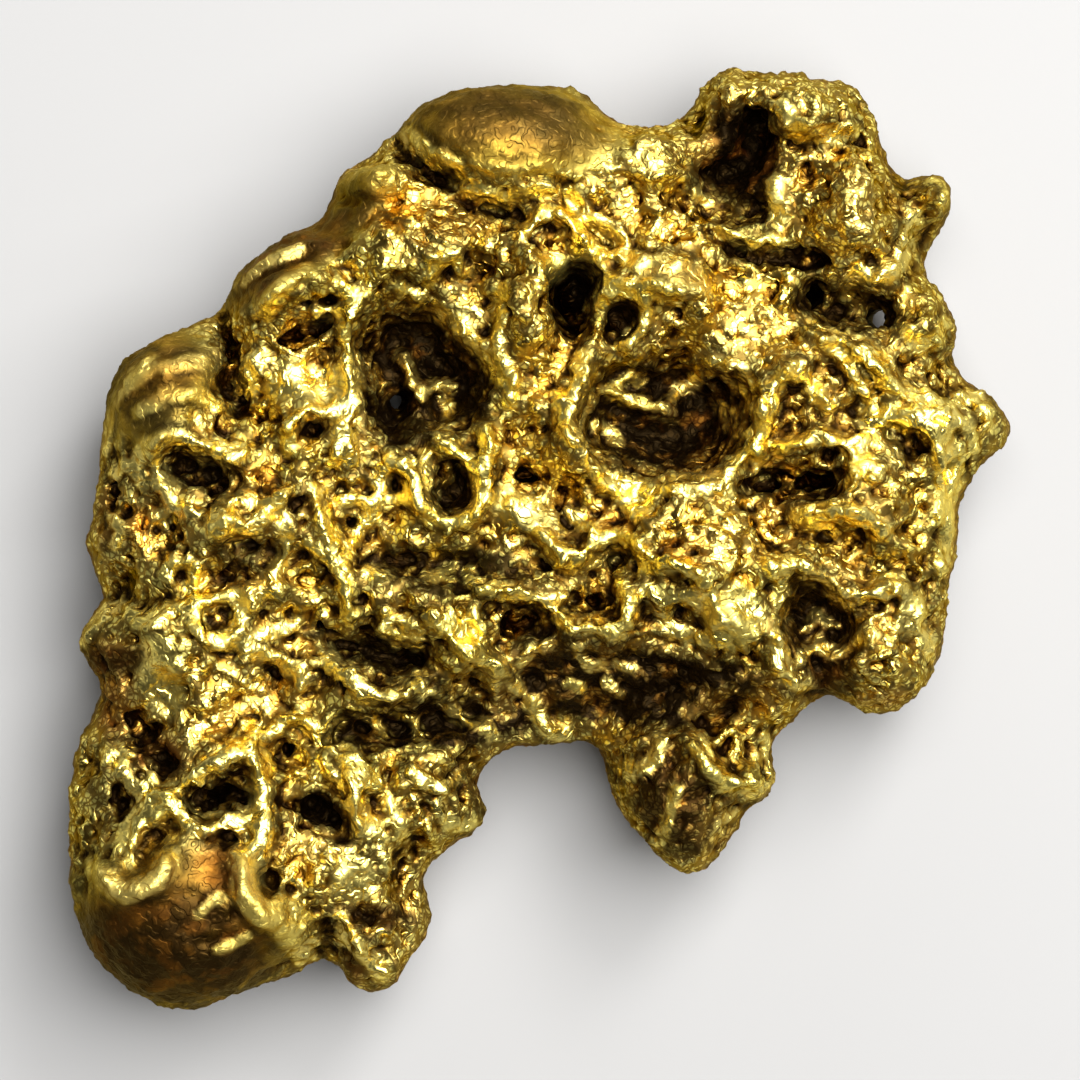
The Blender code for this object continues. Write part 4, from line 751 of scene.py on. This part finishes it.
def apply_modifiers(item):
    """Replace an object's mesh by its evaluated one and drop the modifiers."""
    graph = bpy.context.evaluated_depsgraph_get()
    mesh = bpy.data.meshes.new_from_object(item.evaluated_get(graph))
    item.modifiers.clear()
    item.data = mesh


def fuse(item, voxel):
    """Give a mesh one skin of even faces."""
    remesh = item.modifiers.new("Fuse", "REMESH")
    remesh.mode = "VOXEL"
    remesh.voxel_size = voxel * MM
    apply_modifiers(item)


def soften(item, factor, repeats):
    """Smooth a mesh a little."""
    smooth = item.modifiers.new("Soften", "SMOOTH")
    smooth.factor = factor
    smooth.iterations = repeats
    apply_modifiers(item)


def read_points(mesh):
    """Return a mesh's points and normals, in millimetres."""
    count = len(mesh.vertices)
    points = np.empty(count * 3, dtype=np.float32)
    normals = np.empty(count * 3, dtype=np.float32)
    mesh.vertices.foreach_get("co", points)
    mesh.vertex_normals.foreach_get("vector", normals)
    return points.reshape(-1, 3).astype(float) / MM, normals.reshape(-1, 3).astype(float)


def write_points(mesh, points):
    """Write points given in millimetres back to a mesh, none below the table."""
    points[:, 2] = np.maximum(points[:, 2], 0.0)
    mesh.vertices.foreach_set("co", (points * MM).astype(np.float32).ravel())
    mesh.update()


def smooth_step(low, high, value):
    """Rise smoothly from 0 at low to 1 at high."""
    t = np.clip((value - low) / (high - low), 0.0, 1.0)
    return t * t * (3.0 - 2.0 * t)


def bell(value, middle, width):
    """A smooth bump: 1 in the middle, fading over about its width."""
    return np.exp(-(((value - middle) / width) ** 2))


def lumps(points, size, field):
    """Smooth noise from about -1 to 1 at each point."""
    return np.array([noise.noise(Vector(point)) for point in (points + FIELDS[field]) / size])


def loops(points, size, width, field):
    """Winding crests, 1 on the crest and 0 between, that run along the noise's zero lines."""
    return np.exp(-((lumps(points, size, field) / width) ** 4))


def grains(points, size, field):
    """Rounded grains that touch: 1 on top of each, 0 in the creases."""
    near = [noise.voronoi(Vector(point))[0][:2] for point in (points + FIELDS[field]) / size]
    near = np.array(near)
    return np.clip(1.0 - near[:, 0] / np.maximum(near[:, 1], 1e-6), 0.0, 1.0)


def wander(points, size, reach):
    """Shift points sideways by smooth noise, so that edges drawn with it look natural."""
    moved = points.copy()
    moved[:, 0] += reach * lumps(points, size, "shift x")
    moved[:, 1] += reach * lumps(points, size, "shift y")
    return moved


def ellipse_reach(points, x, y, along, across, turn):
    """How far each point lies from an ellipse's centre: 0 there, 1 on the ellipse."""
    angle = math.radians(turn)
    dx = points[:, 0] - x
    dy = points[:, 1] - y
    u = dx * math.cos(angle) + dy * math.sin(angle)
    v = dy * math.cos(angle) - dx * math.sin(angle)
    return np.sqrt((u / along) ** 2 + (v / across) ** 2)


def path_distance(points, path):
    """Distance of each point from a broken line, seen from above."""
    nearest = np.full(len(points), np.inf)
    for (ax, ay), (bx, by) in zip(path, path[1:]):
        length = (bx - ax) ** 2 + (by - ay) ** 2
        t = ((points[:, 0] - ax) * (bx - ax) + (points[:, 1] - ay) * (by - ay)) / length
        t = np.clip(t, 0.0, 1.0)
        gap = np.hypot(points[:, 0] - ax - t * (bx - ax), points[:, 1] - ay - t * (by - ay))
        nearest = np.minimum(nearest, gap)
    return nearest


def patch_share(points, patches):
    """1 inside any of the patches, fading to 0 outside them."""
    share = np.zeros(len(points))
    for patch in patches.values():
        share = np.maximum(share, 1.0 - smooth_step(*PATCH_FADE, ellipse_reach(points, *patch)))
    return share


def stain_share(points, stains, edge):
    """How strongly each point is covered by a table's stains or painted shade; edge is where they start
    to fade.
    """
    share = np.zeros(len(points))
    for *patch, strength in stains.values():
        inside = 1.0 - smooth_step(edge, STAIN_END, ellipse_reach(points, *patch))
        share = np.maximum(share, strength * inside)
    return share


def near_path(points, path, margin):
    """Which points lie in the box round a path."""
    path = np.array(path)
    low = path.min(axis=0) - margin
    high = path.max(axis=0) + margin
    return np.flatnonzero(((points[:, :2] > low) & (points[:, :2] < high)).all(axis=1))


def keep_stronger(drawn, near, new):
    """Write new heights over the drawn ones wherever they are the stronger."""
    stronger = np.abs(new) > np.abs(drawn[near])
    drawn[near[stronger]] = new[stronger]


def line_profile(away):
    """A flat-topped line with a slight trough along either side, across its half widths."""
    depth, middle, width = TROUGH
    return np.exp(-((away / LINE_TOP) ** LINE_EDGE)) - depth * bell(away, middle, width)


def draw_lines(points, lines):
    """Lines along their paths, of uneven width."""
    drawn = np.zeros(len(points))
    share, size = LINE_UNEVEN
    uneven = 1.0 + share * lumps(points, size, "dents")
    for half_width, height, path in lines.values():
        near = near_path(points, path, LINE_REACH * half_width)
        away = path_distance(points[near], path) / (half_width * uneven[near])
        keep_stronger(drawn, near, height * line_profile(away))
    return drawn


def strand_reach(points):
    """How far each point lies from the nearest strand, in the strand's half widths."""
    reach = np.full(len(points), LINE_REACH)
    for half_width, _, path in STRANDS.values():
        near = near_path(points, path, LINE_REACH * half_width)
        away = path_distance(points[near], path) / half_width
        reach[near] = np.minimum(reach[near], away)
    return reach


def draw_spots(points, spots, profile):
    """Pits or beads of a given profile over their ellipses."""
    drawn = np.zeros(len(points))
    for *ellipse, height in spots.values():
        margin = SPOT_REACH * max(ellipse[2], ellipse[3])
        near = near_path(points, (ellipse[:2],), margin)
        keep_stronger(drawn, near, height * profile(ellipse_reach(points[near], *ellipse)))
    return drawn


def pit_profile(reach):
    """A pit with a rounded floor and a slightly raised collar."""
    height, middle, width = PIT_COLLAR
    return height * bell(reach, middle, width) - (1.0 - smooth_step(*PIT_WALL, reach))


def bead_profile(reach):
    """A dome with a slight trough round it."""
    depth, middle, width = BEAD_TROUGH
    return np.sqrt(np.clip(1.0 - reach ** 2, 0.0, 1.0)) - depth * bell(reach, middle, width)


def named_relief(points):
    """Height added at each point by the strands, pits, beads and creases, seen from above."""
    seen = wander(points, *NAMED_WANDER)
    share, size = NAMED_UNEVEN
    vary = 1.0 + share * lumps(points, size, "strength")
    raised = STRAND_LIFT * draw_lines(seen, STRANDS) + draw_spots(seen, BEADS, bead_profile)
    pits = draw_spots(wander(seen, *PIT_WANDER), PITS, pit_profile)
    sunk = PIT_SHARE * pits - draw_lines(seen, CREASES)
    return vary * (raised + sunk)


def rough_relief(points, grained):
    """Winding crests and grains of the rough face, on top of its pits and strands."""
    seen = wander(points, *ROUGH_WANDER)
    height, size, width, level = CRESTS
    mean, share, spacing = CREST_PATCHES
    patchy = mean + share * lumps(points, spacing, "patches")
    relief = patchy * height * (loops(seen, size, width, "loops") - level)
    height, size, width, level = GROOVES
    relief -= height * (loops(seen, size, width, "fine loops") - level)
    return relief + ROUGH_GRAIN * grained


def worn_relief(points, grained):
    """Dents of the worn skin, drawn out into streaks that follow each patch's rim."""
    (dent, dent_size), (streak, streak_size) = WORN_DENTS
    relief = dent * lumps(points, dent_size, "dents") + streak * lumps(points, streak_size, "streaks")
    relief += WORN_GRAIN * grained
    for patch in WORN.values():
        reach = ellipse_reach(points, *patch)
        rings = points * RING_STRETCH
        rings[:, 2] += RING_COUNT * reach
        streaks = lumps(rings, RING_SIZE, "streaks")
        relief += RING_HEIGHT * (1.0 - smooth_step(*RING_FADE, reach)) * streaks
    return relief


def base_skin():
    """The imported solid's form with its facets smoothed away."""
    bm = bmesh.new()
    bm.from_mesh(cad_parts[NODE].data)
    bmesh.ops.remove_doubles(bm, verts=bm.verts, dist=SEAM)
    mesh = bpy.data.meshes.new(PIECE)
    bm.to_mesh(mesh)
    bm.free()
    item = add_object(PIECE, mesh)
    fuse(item, BASE_VOXEL)
    soften(item, *BASE_SOFTENING)
    return item


def add_named_relief(item):
    """Press the named forms into the face, from above."""
    points, normals = read_points(item.data)
    facing = smooth_step(*NAMED_SLOPE, normals[:, 2]) * smooth_step(*NAMED_RISE, points[:, 2])
    points[:, 2] += facing * named_relief(points)
    write_points(item.data, points)
    fuse(item, SKIN_VOXEL)


def add_skin_relief(item):
    """Roughen the face and dent the worn skin."""
    points, normals = read_points(item.data)
    worn = patch_share(points, WORN)
    rough = (1.0 - worn) * smooth_step(*ROUGH_RISE, points[:, 2])
    rough *= 1.0 - PAD_SMOOTHNESS * patch_share(points, PADS)
    reach = strand_reach(wander(points, *STRAND_WANDER))
    rough *= 1.0 - STRAND_SMOOTHNESS + STRAND_SMOOTHNESS * smooth_step(*STRAND_SIDE, reach)
    size, level = GRAINS
    grained = grains(points, size, "grains") - level
    height = rough * rough_relief(points, grained) + (1.0 - rough) * worn_relief(points, grained)
    write_points(item.data, points + normals * height[:, None])


def mark_back(item):
    """Group the points of the back, and return what share of the mesh they are."""
    normals = read_points(item.data)[1]
    back = np.flatnonzero(normals[:, 2] < BACK_SLOPE)
    item.vertex_groups.new(name="back").add(back.tolist(), 1.0, "REPLACE")
    return len(back) / len(normals)


def thin(item, ratio, group):
    """Keep a share of a mesh's triangles, where its details need them most."""
    decimate = item.modifiers.new("Thin out", "DECIMATE")
    decimate.ratio = ratio
    decimate.vertex_group = group
    apply_modifiers(item)


def thin_out(item, triangles):
    """Bring a mesh down to about the given number of triangles, the plain back first."""
    triangulate = item.modifiers.new("Triangulate", "TRIANGULATE")
    triangulate.min_vertices = 4
    apply_modifiers(item)
    share = mark_back(item)
    thin(item, 1.0 - share * (1.0 - BACK_KEPT), "back")
    item.vertex_groups.clear()
    thin(item, triangles / len(item.data.polygons), "")


def drop_specks(item):
    """Delete the loose specks beside the nugget's own skin, which carries its lowest point."""
    bm = bmesh.new()
    bm.from_mesh(item.data)
    lowest = min(bm.verts, key=lambda vertex: vertex.co.z)
    kept = {lowest}
    waiting = [lowest]
    while waiting:
        vertex = waiting.pop()
        for edge in vertex.link_edges:
            other = edge.other_vert(vertex)
            if other not in kept:
                kept.add(other)
                waiting.append(other)
    bmesh.ops.delete(bm, geom=[vertex for vertex in bm.verts if vertex not in kept], context="VERTS")
    bm.to_mesh(item.data)
    bm.free()


def spread(values, edges, counts, repeats):
    """Average values over neighbouring points, several times."""
    ends = np.concatenate((edges[:, 0], edges[:, 1]))
    others = np.concatenate((edges[:, 1], edges[:, 0]))
    for _ in range(repeats):
        sums = [np.bincount(ends, weights=column[others], minlength=len(counts)) for column in values.T]
        values = (values + np.array(sums).T) / counts
    return values


def sky_directions(rings, spokes, lowest):
    """Directions in rings round straight up, spread down to the lowest lean."""
    directions = []
    for ring in range(rings):
        lean = math.radians(lowest * (ring + 0.5) / rings)
        for spoke in range(spokes):
            turn = math.tau * (spoke + 0.5 * (ring % 2)) / spokes
            level = math.sin(lean)
            directions.append(Vector((level * math.cos(turn), level * math.sin(turn), math.cos(lean))))
    return directions


def openness(mesh, points, normals):
    """How much of the space above each point, or below it on the back, is open: 1 on a crest."""
    tree = BVHTree.FromPolygons(
        [vertex.co for vertex in mesh.vertices],
        [polygon.vertices for polygon in mesh.polygons],
    )
    reach = OPEN_REACH * MM
    directions = sky_directions(*SKY)
    starts = (points + OPEN_START * normals) * MM
    opened = np.zeros(len(points))
    under = normals[:, 2] < 0.0
    for direction in directions:
        mirrored = Vector((direction.x, direction.y, -direction.z))
        free = []
        for start, below in zip(starts, under):
            distance = tree.ray_cast(Vector(start), mirrored if below else direction, reach)[3]
            free.append(1.0 if distance is None else distance / reach)
        opened += np.array(free)
    return opened / len(directions)


def store(mesh, name, values):
    """Keep a number for each point, for the material to read."""
    layer = mesh.attributes.new(name, "FLOAT", "POINT")
    layer.data.foreach_set("value", values.astype(np.float32))


def mark_crests(mesh, points, normals):
    """Store how far each point stands out of the skin around it, and how open it lies."""
    edges = np.empty(len(mesh.edges) * 2, dtype=np.int32)
    mesh.edges.foreach_get("vertices", edges)
    edges = edges.reshape(-1, 2)
    counts = (np.bincount(edges.ravel(), minlength=len(points)) + 1.0)[:, None]
    for name, repeats in CREST_SPREADS.items():
        around = spread(points, edges, counts, repeats)
        store(mesh, name, np.einsum("ij,ij->i", points - around, normals))
    opened = openness(mesh, points, normals)[:, None]
    store(mesh, "open", spread(opened, edges, counts, OPEN_SPREAD)[:, 0])


def mark_stains_and_shade(mesh, points, normals):
    """Store where the skin is worn, stained or dirty, and where painted shade and painted highlight go.
    """
    slope = normals[:, 2]
    rise = points[:, 2]
    seen = wander(points, *STAIN_WANDER)
    face = smooth_step(*FACE_SLOPE, slope)
    reach = strand_reach(wander(points, *STRAND_WANDER))
    # Painted highlight on the up-facing strand tops.
    bright = (1.0 - smooth_step(*BRIGHT_SIDE, reach)) * smooth_step(*BRIGHT_SLOPE, slope)
    # Painted shade in the troughs beside the strands.
    beside = smooth_step(*BESIDE_START, reach) * (1.0 - smooth_step(*BESIDE_END, reach))
    # Painted shade on the low steep side walls.
    walls = 1.0 - smooth_step(*WALL_SLOPE, np.abs(slope - WALL_LEAN))
    walls *= 1.0 - smooth_step(*WALL_TOP, rise)
    # Brown stain on the face, part real stain and part painted shade, and painted shade on the low
    # walls.
    brown = np.maximum(face * stain_share(seen, BROWN, STAIN_EDGE), WALL_SHADE_BROWN * walls)
    # Dirt and painted shade of the deep places, and painted shade beside the strands.
    dirt_and_shade = np.maximum(stain_share(seen, DIRT_AND_SHADE, DIRT_AND_SHADE_EDGE), BESIDE_SHADE * beside)
    dirt_and_shade = np.maximum(face * dirt_and_shade, WALL_SHADE_DARK * walls)
    # Worn patches and everything low down take the worn colour, part patina and part painted shade, so
    # the nugget darkens towards the bottom.
    store(mesh, "worn", np.maximum(patch_share(points, WORN), 1.0 - smooth_step(*BACK_RISE, rise)))
    store(mesh, "pads", face * patch_share(seen, PADS))
    store(mesh, "strand", bright)
    store(mesh, "brown", (1.0 - STRAND_OVER_BROWN * bright) * brown)
    store(mesh, "orange", face * stain_share(seen, ORANGE, STAIN_EDGE))
    store(mesh, "dirt_and_shade", (1.0 - STRAND_OVER_DIRT_AND_SHADE * bright) * dirt_and_shade)


class Graph:
    """A material's node tree, with short ways to add and link nodes."""

    def __init__(self, material):
        material.use_nodes = True
        self.nodes = material.node_tree.nodes
        self.links = material.node_tree.links
        self.shader = self.nodes["Principled BSDF"]

    def feed(self, socket, source):
        """Link a socket or set it to a number or colour."""
        if isinstance(source, bpy.types.NodeSocket):
            self.links.new(source, socket)
        else:
            socket.default_value = source

    def attribute(self, name):
        """A number stored on the mesh's points."""
        node = self.nodes.new("ShaderNodeAttribute")
        node.attribute_name = name
        return node.outputs["Fac"]

    def math(self, operation, *sources):
        """Arithmetic on numbers."""
        node = self.nodes.new("ShaderNodeMath")
        node.operation = operation
        for socket, source in zip(node.inputs, sources):
            self.feed(socket, source)
        return node.outputs[0]

    def rescale(self, value, low, high, to_low=0.0, to_high=1.0):
        """Map a range of numbers to another, clamped."""
        node = self.nodes.new("ShaderNodeMapRange")
        for name, source in (("Value", value), ("From Min", low), ("From Max", high),
                             ("To Min", to_low), ("To Max", to_high)):
            self.feed(node.inputs[name], source)
        return node.outputs["Result"]

    def ramp(self, value, stops):
        """Colours along a scale of numbers."""
        node = self.nodes.new("ShaderNodeValToRGB")
        elements = node.color_ramp.elements
        for position, colour in stops[1:-1]:
            elements.new(position).color = (*colour, 1.0)
        for element, (position, colour) in ((elements[0], stops[0]), (elements[-1], stops[-1])):
            element.position = position
            element.color = (*colour, 1.0)
        self.feed(node.inputs["Fac"], value)
        return node.outputs["Color"]

    def mix(self, mode, share, first, second):
        """Blend two colours."""
        node = self.nodes.new("ShaderNodeMix")
        node.data_type = "RGBA"
        node.blend_type = mode
        self.feed(node.inputs["Factor"], share)
        self.feed(node.inputs["A"], first)
        self.feed(node.inputs["B"], second)
        return node.outputs["Result"]

    def noise(self, place, scale, detail):
        """Cloudy noise from 0 to 1."""
        node = self.nodes.new("ShaderNodeTexNoise")
        self.feed(node.inputs["Vector"], place)
        node.inputs["Scale"].default_value = scale
        node.inputs["Detail"].default_value = detail
        return node.outputs["Fac"]

    def cells(self, place, scale):
        """Distance to the nearest edge between cells."""
        node = self.nodes.new("ShaderNodeTexVoronoi")
        node.feature = "DISTANCE_TO_EDGE"
        self.feed(node.inputs["Vector"], place)
        node.inputs["Scale"].default_value = scale
        return node.outputs["Distance"]


def relief_shade_colour(graph, place):
    """Raw gold with painted shade: near black in its cavities, ochre on its slopes and pale on its
    crests.
    """
    fine = graph.math("MULTIPLY", graph.attribute("crest_fine"), FINE_CREST_WEIGHT)
    relief = graph.math("ADD", fine, graph.attribute("crest_wide"))
    relief = graph.math("MULTIPLY_ADD", graph.attribute("open"), OPEN_WEIGHT, relief)
    relief = graph.math("MULTIPLY_ADD", graph.noise(place, *CLOUDS), CLOUD_WEIGHT, relief)
    return graph.ramp(graph.rescale(relief, *RELIEF_RANGE), RELIEF_SHADE_COLOURS)


def worn_and_shade_colour(graph, place):
    """Worn skin and the low back: ochre to orange-brown in faint clouds, part patina and part painted
    shade.
    """
    return graph.ramp(graph.noise(place, *WORN_CLOUDS), WORN_AND_SHADE_COLOURS)


def clean_colour(graph, place, pale):
    """The gold by its relief and wear, both partly painted shade, with the painted highlight of its
    pale places and its casts.
    """
    colour = relief_shade_colour(graph, place)
    # Worn colour, part patina and part painted shade.
    worn = graph.math("MULTIPLY", graph.attribute("worn"), WORN_COVER)
    colour = graph.mix("MIX", worn, colour, worn_and_shade_colour(graph, place))
    colour = graph.mix("MIX", graph.math("MULTIPLY", pale, HIGHLIGHT_COVER), colour, HIGHLIGHT_GOLD)
    cast = graph.rescale(graph.noise(place, *CASTS), *CAST_RANGE)
    colour = graph.mix("MULTIPLY", cast, colour, COOL_CAST)
    orange = graph.math("MULTIPLY", graph.attribute("orange"), ORANGE_COVER)
    return graph.mix("MULTIPLY", orange, colour, ORANGE_STAIN)


def worm_pattern(graph, place):
    """Dark winding lines, as between crumpled foil."""
    worms = graph.math("SUBTRACT", graph.noise(place, *WORMS), 0.5)
    return graph.rescale(graph.math("ABSOLUTE", worms), *WORM_RANGE, GAP_DEPTH, 0.0)


def add_gaps(graph, place, colour, pale, worms):
    """Darken the fine gaps between the grains, less so on smooth skin."""
    gaps = graph.rescale(graph.cells(place, CELLS), *CELL_RANGE, GAP_DEPTH, 0.0)
    gaps = graph.math("MAXIMUM", gaps, worms)
    smooth = graph.math("MAXIMUM", graph.attribute("worn"), pale)
    gaps = graph.math("MULTIPLY", gaps, graph.rescale(smooth, 0.0, 1.0, 1.0, SMOOTH_GAPS))
    return graph.mix("MULTIPLY", gaps, colour, GAP_SHADE)


def set_gloss(graph, blotch, cover):
    """Clean gold is a glossy metal, and the stained, dirty and painted-shade places and wear dull it.
    """
    graph.feed(graph.shader.inputs["Metallic"], graph.rescale(cover, 0.0, 1.0, 1.0, COVERED_METAL))
    rough = graph.math("MAXIMUM", cover, graph.attribute("worn"))
    rough = graph.math("MULTIPLY_ADD", rough, COVERED_ROUGHNESS, graph.rescale(blotch, *GLOSS_RANGE))
    graph.feed(graph.shader.inputs["Roughness"], rough)
    graph.feed(graph.shader.inputs["Specular IOR Level"], SPECULAR_LEVEL)
    graph.feed(graph.shader.inputs["Specular Tint"], SPECULAR_TINT)


def add_bump(graph, place, worms):
    """Grit too fine for the mesh, and the winding lines sunk into it."""
    sunk = graph.math("MULTIPLY", worms, -WORM_BUMP)
    surface = graph.math("MULTIPLY_ADD", graph.noise(place, *GRIT), GRIT_BUMP, sunk)
    bump = graph.nodes.new("ShaderNodeBump")
    bump.inputs["Strength"].default_value = BUMP_STRENGTH
    bump.inputs["Distance"].default_value = BUMP_HEIGHT * MM
    graph.feed(bump.inputs["Height"], surface)
    graph.feed(graph.shader.inputs["Normal"], bump.outputs["Normal"])


def gold_material():
    """Raw natural gold, stained and dirty, with painted shade in its hollows, beside its strands and on
    its sides turned from the light, and painted highlight on its strand tops and pads.
    """
    material = bpy.data.materials.new("raw gold")
    graph = Graph(material)
    place = graph.nodes.new("ShaderNodeTexCoord").outputs["Object"]
    # Painted highlight on the smooth pads and up-facing strand tops.
    pale = graph.math("MAXIMUM", graph.attribute("pads"), graph.attribute("strand"))
    colour = clean_colour(graph, place, pale)
    blotch = graph.noise(place, *BLOTCHES)
    # Brown of iron stain and painted shade, in blotches.
    brown = graph.math("MULTIPLY", graph.attribute("brown"), graph.rescale(blotch, *BROWN_RANGE))
    colour = graph.mix("MULTIPLY", brown, colour, BROWN_STAIN_AND_SHADE)
    # Dirt and painted shade, in blotches, laid over the colour.
    dirt_and_shade = graph.math("MULTIPLY", graph.attribute("dirt_and_shade"), graph.rescale(blotch, *DIRT_AND_SHADE_RANGE))
    colour = graph.mix("MIX", dirt_and_shade, colour, BLACK_DIRT_AND_SHADE)
    worms = worm_pattern(graph, place)
    colour = add_gaps(graph, place, colour, pale, worms)
    graph.feed(graph.shader.inputs["Base Color"], colour)
    set_gloss(graph, blotch, graph.math("MAXIMUM", brown, dirt_and_shade))
    add_bump(graph, place, worms)
    return material


def make_nugget():
    """The visible nugget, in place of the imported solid."""
    item = base_skin()
    add_named_relief(item)
    add_skin_relief(item)
    fuse(item, SKIN_VOXEL)
    thin_out(item, TRIANGLES)
    drop_specks(item)
    write_points(item.data, read_points(item.data)[0])
    item.name = PIECE
    item.data.name = PIECE
    item.data.materials.clear()
    item.data.materials.append(gold_material())
    item.data.shade_smooth()
    points, normals = read_points(item.data)
    mark_crests(item.data, points, normals)
    mark_stains_and_shade(item.data, points, normals)
    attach(item, "root")
    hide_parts(NODE)


def make_floor():
    """A plain pale table top."""
    bpy.ops.mesh.primitive_plane_add(size=FLOOR_SIZE, location=(0.0, 0.0, 0.0))
    floor = bpy.context.object
    floor.name = "floor"
    material = bpy.data.materials.new("pale table")
    material.use_nodes = True
    shader = material.node_tree.nodes["Principled BSDF"]
    shader.inputs["Base Color"].default_value = FLOOR_COLOUR
    shader.inputs["Roughness"].default_value = FLOOR_ROUGHNESS
    floor.data.materials.append(material)


def make_camera():
    """A long lens straight above the nugget."""
    data = bpy.data.cameras.new("camera")
    data.lens = LENS
    data.sensor_width = SENSOR
    camera = add_object("camera", data)
    camera.location.z = (OUTLINE_HEIGHT + FRAME_WIDTH * LENS / SENSOR) * MM
    bpy.context.scene.camera = camera


def make_light(name, place, size, power):
    """One square softbox that faces the nugget."""
    data = bpy.data.lights.new(name, "AREA")
    data.shape = "SQUARE"
    data.size = size
    data.energy = power
    light = add_object(name, data)
    light.location = place
    light.rotation_euler = Vector(place).to_track_quat("Z", "Y").to_euler()


def make_world():
    """A dim even surround."""
    world = bpy.data.worlds.new("surround")
    world.use_nodes = True
    background = world.node_tree.nodes["Background"]
    background.inputs["Color"].default_value = SURROUND_COLOUR
    background.inputs["Strength"].default_value = SURROUND_STRENGTH
    bpy.context.scene.world = world


make_camera()
make_nugget()
make_floor()
for light_name, light in LIGHTS.items():
    make_light(light_name, *light)
make_world()
bpy.context.scene.view_settings.view_transform = "Standard"
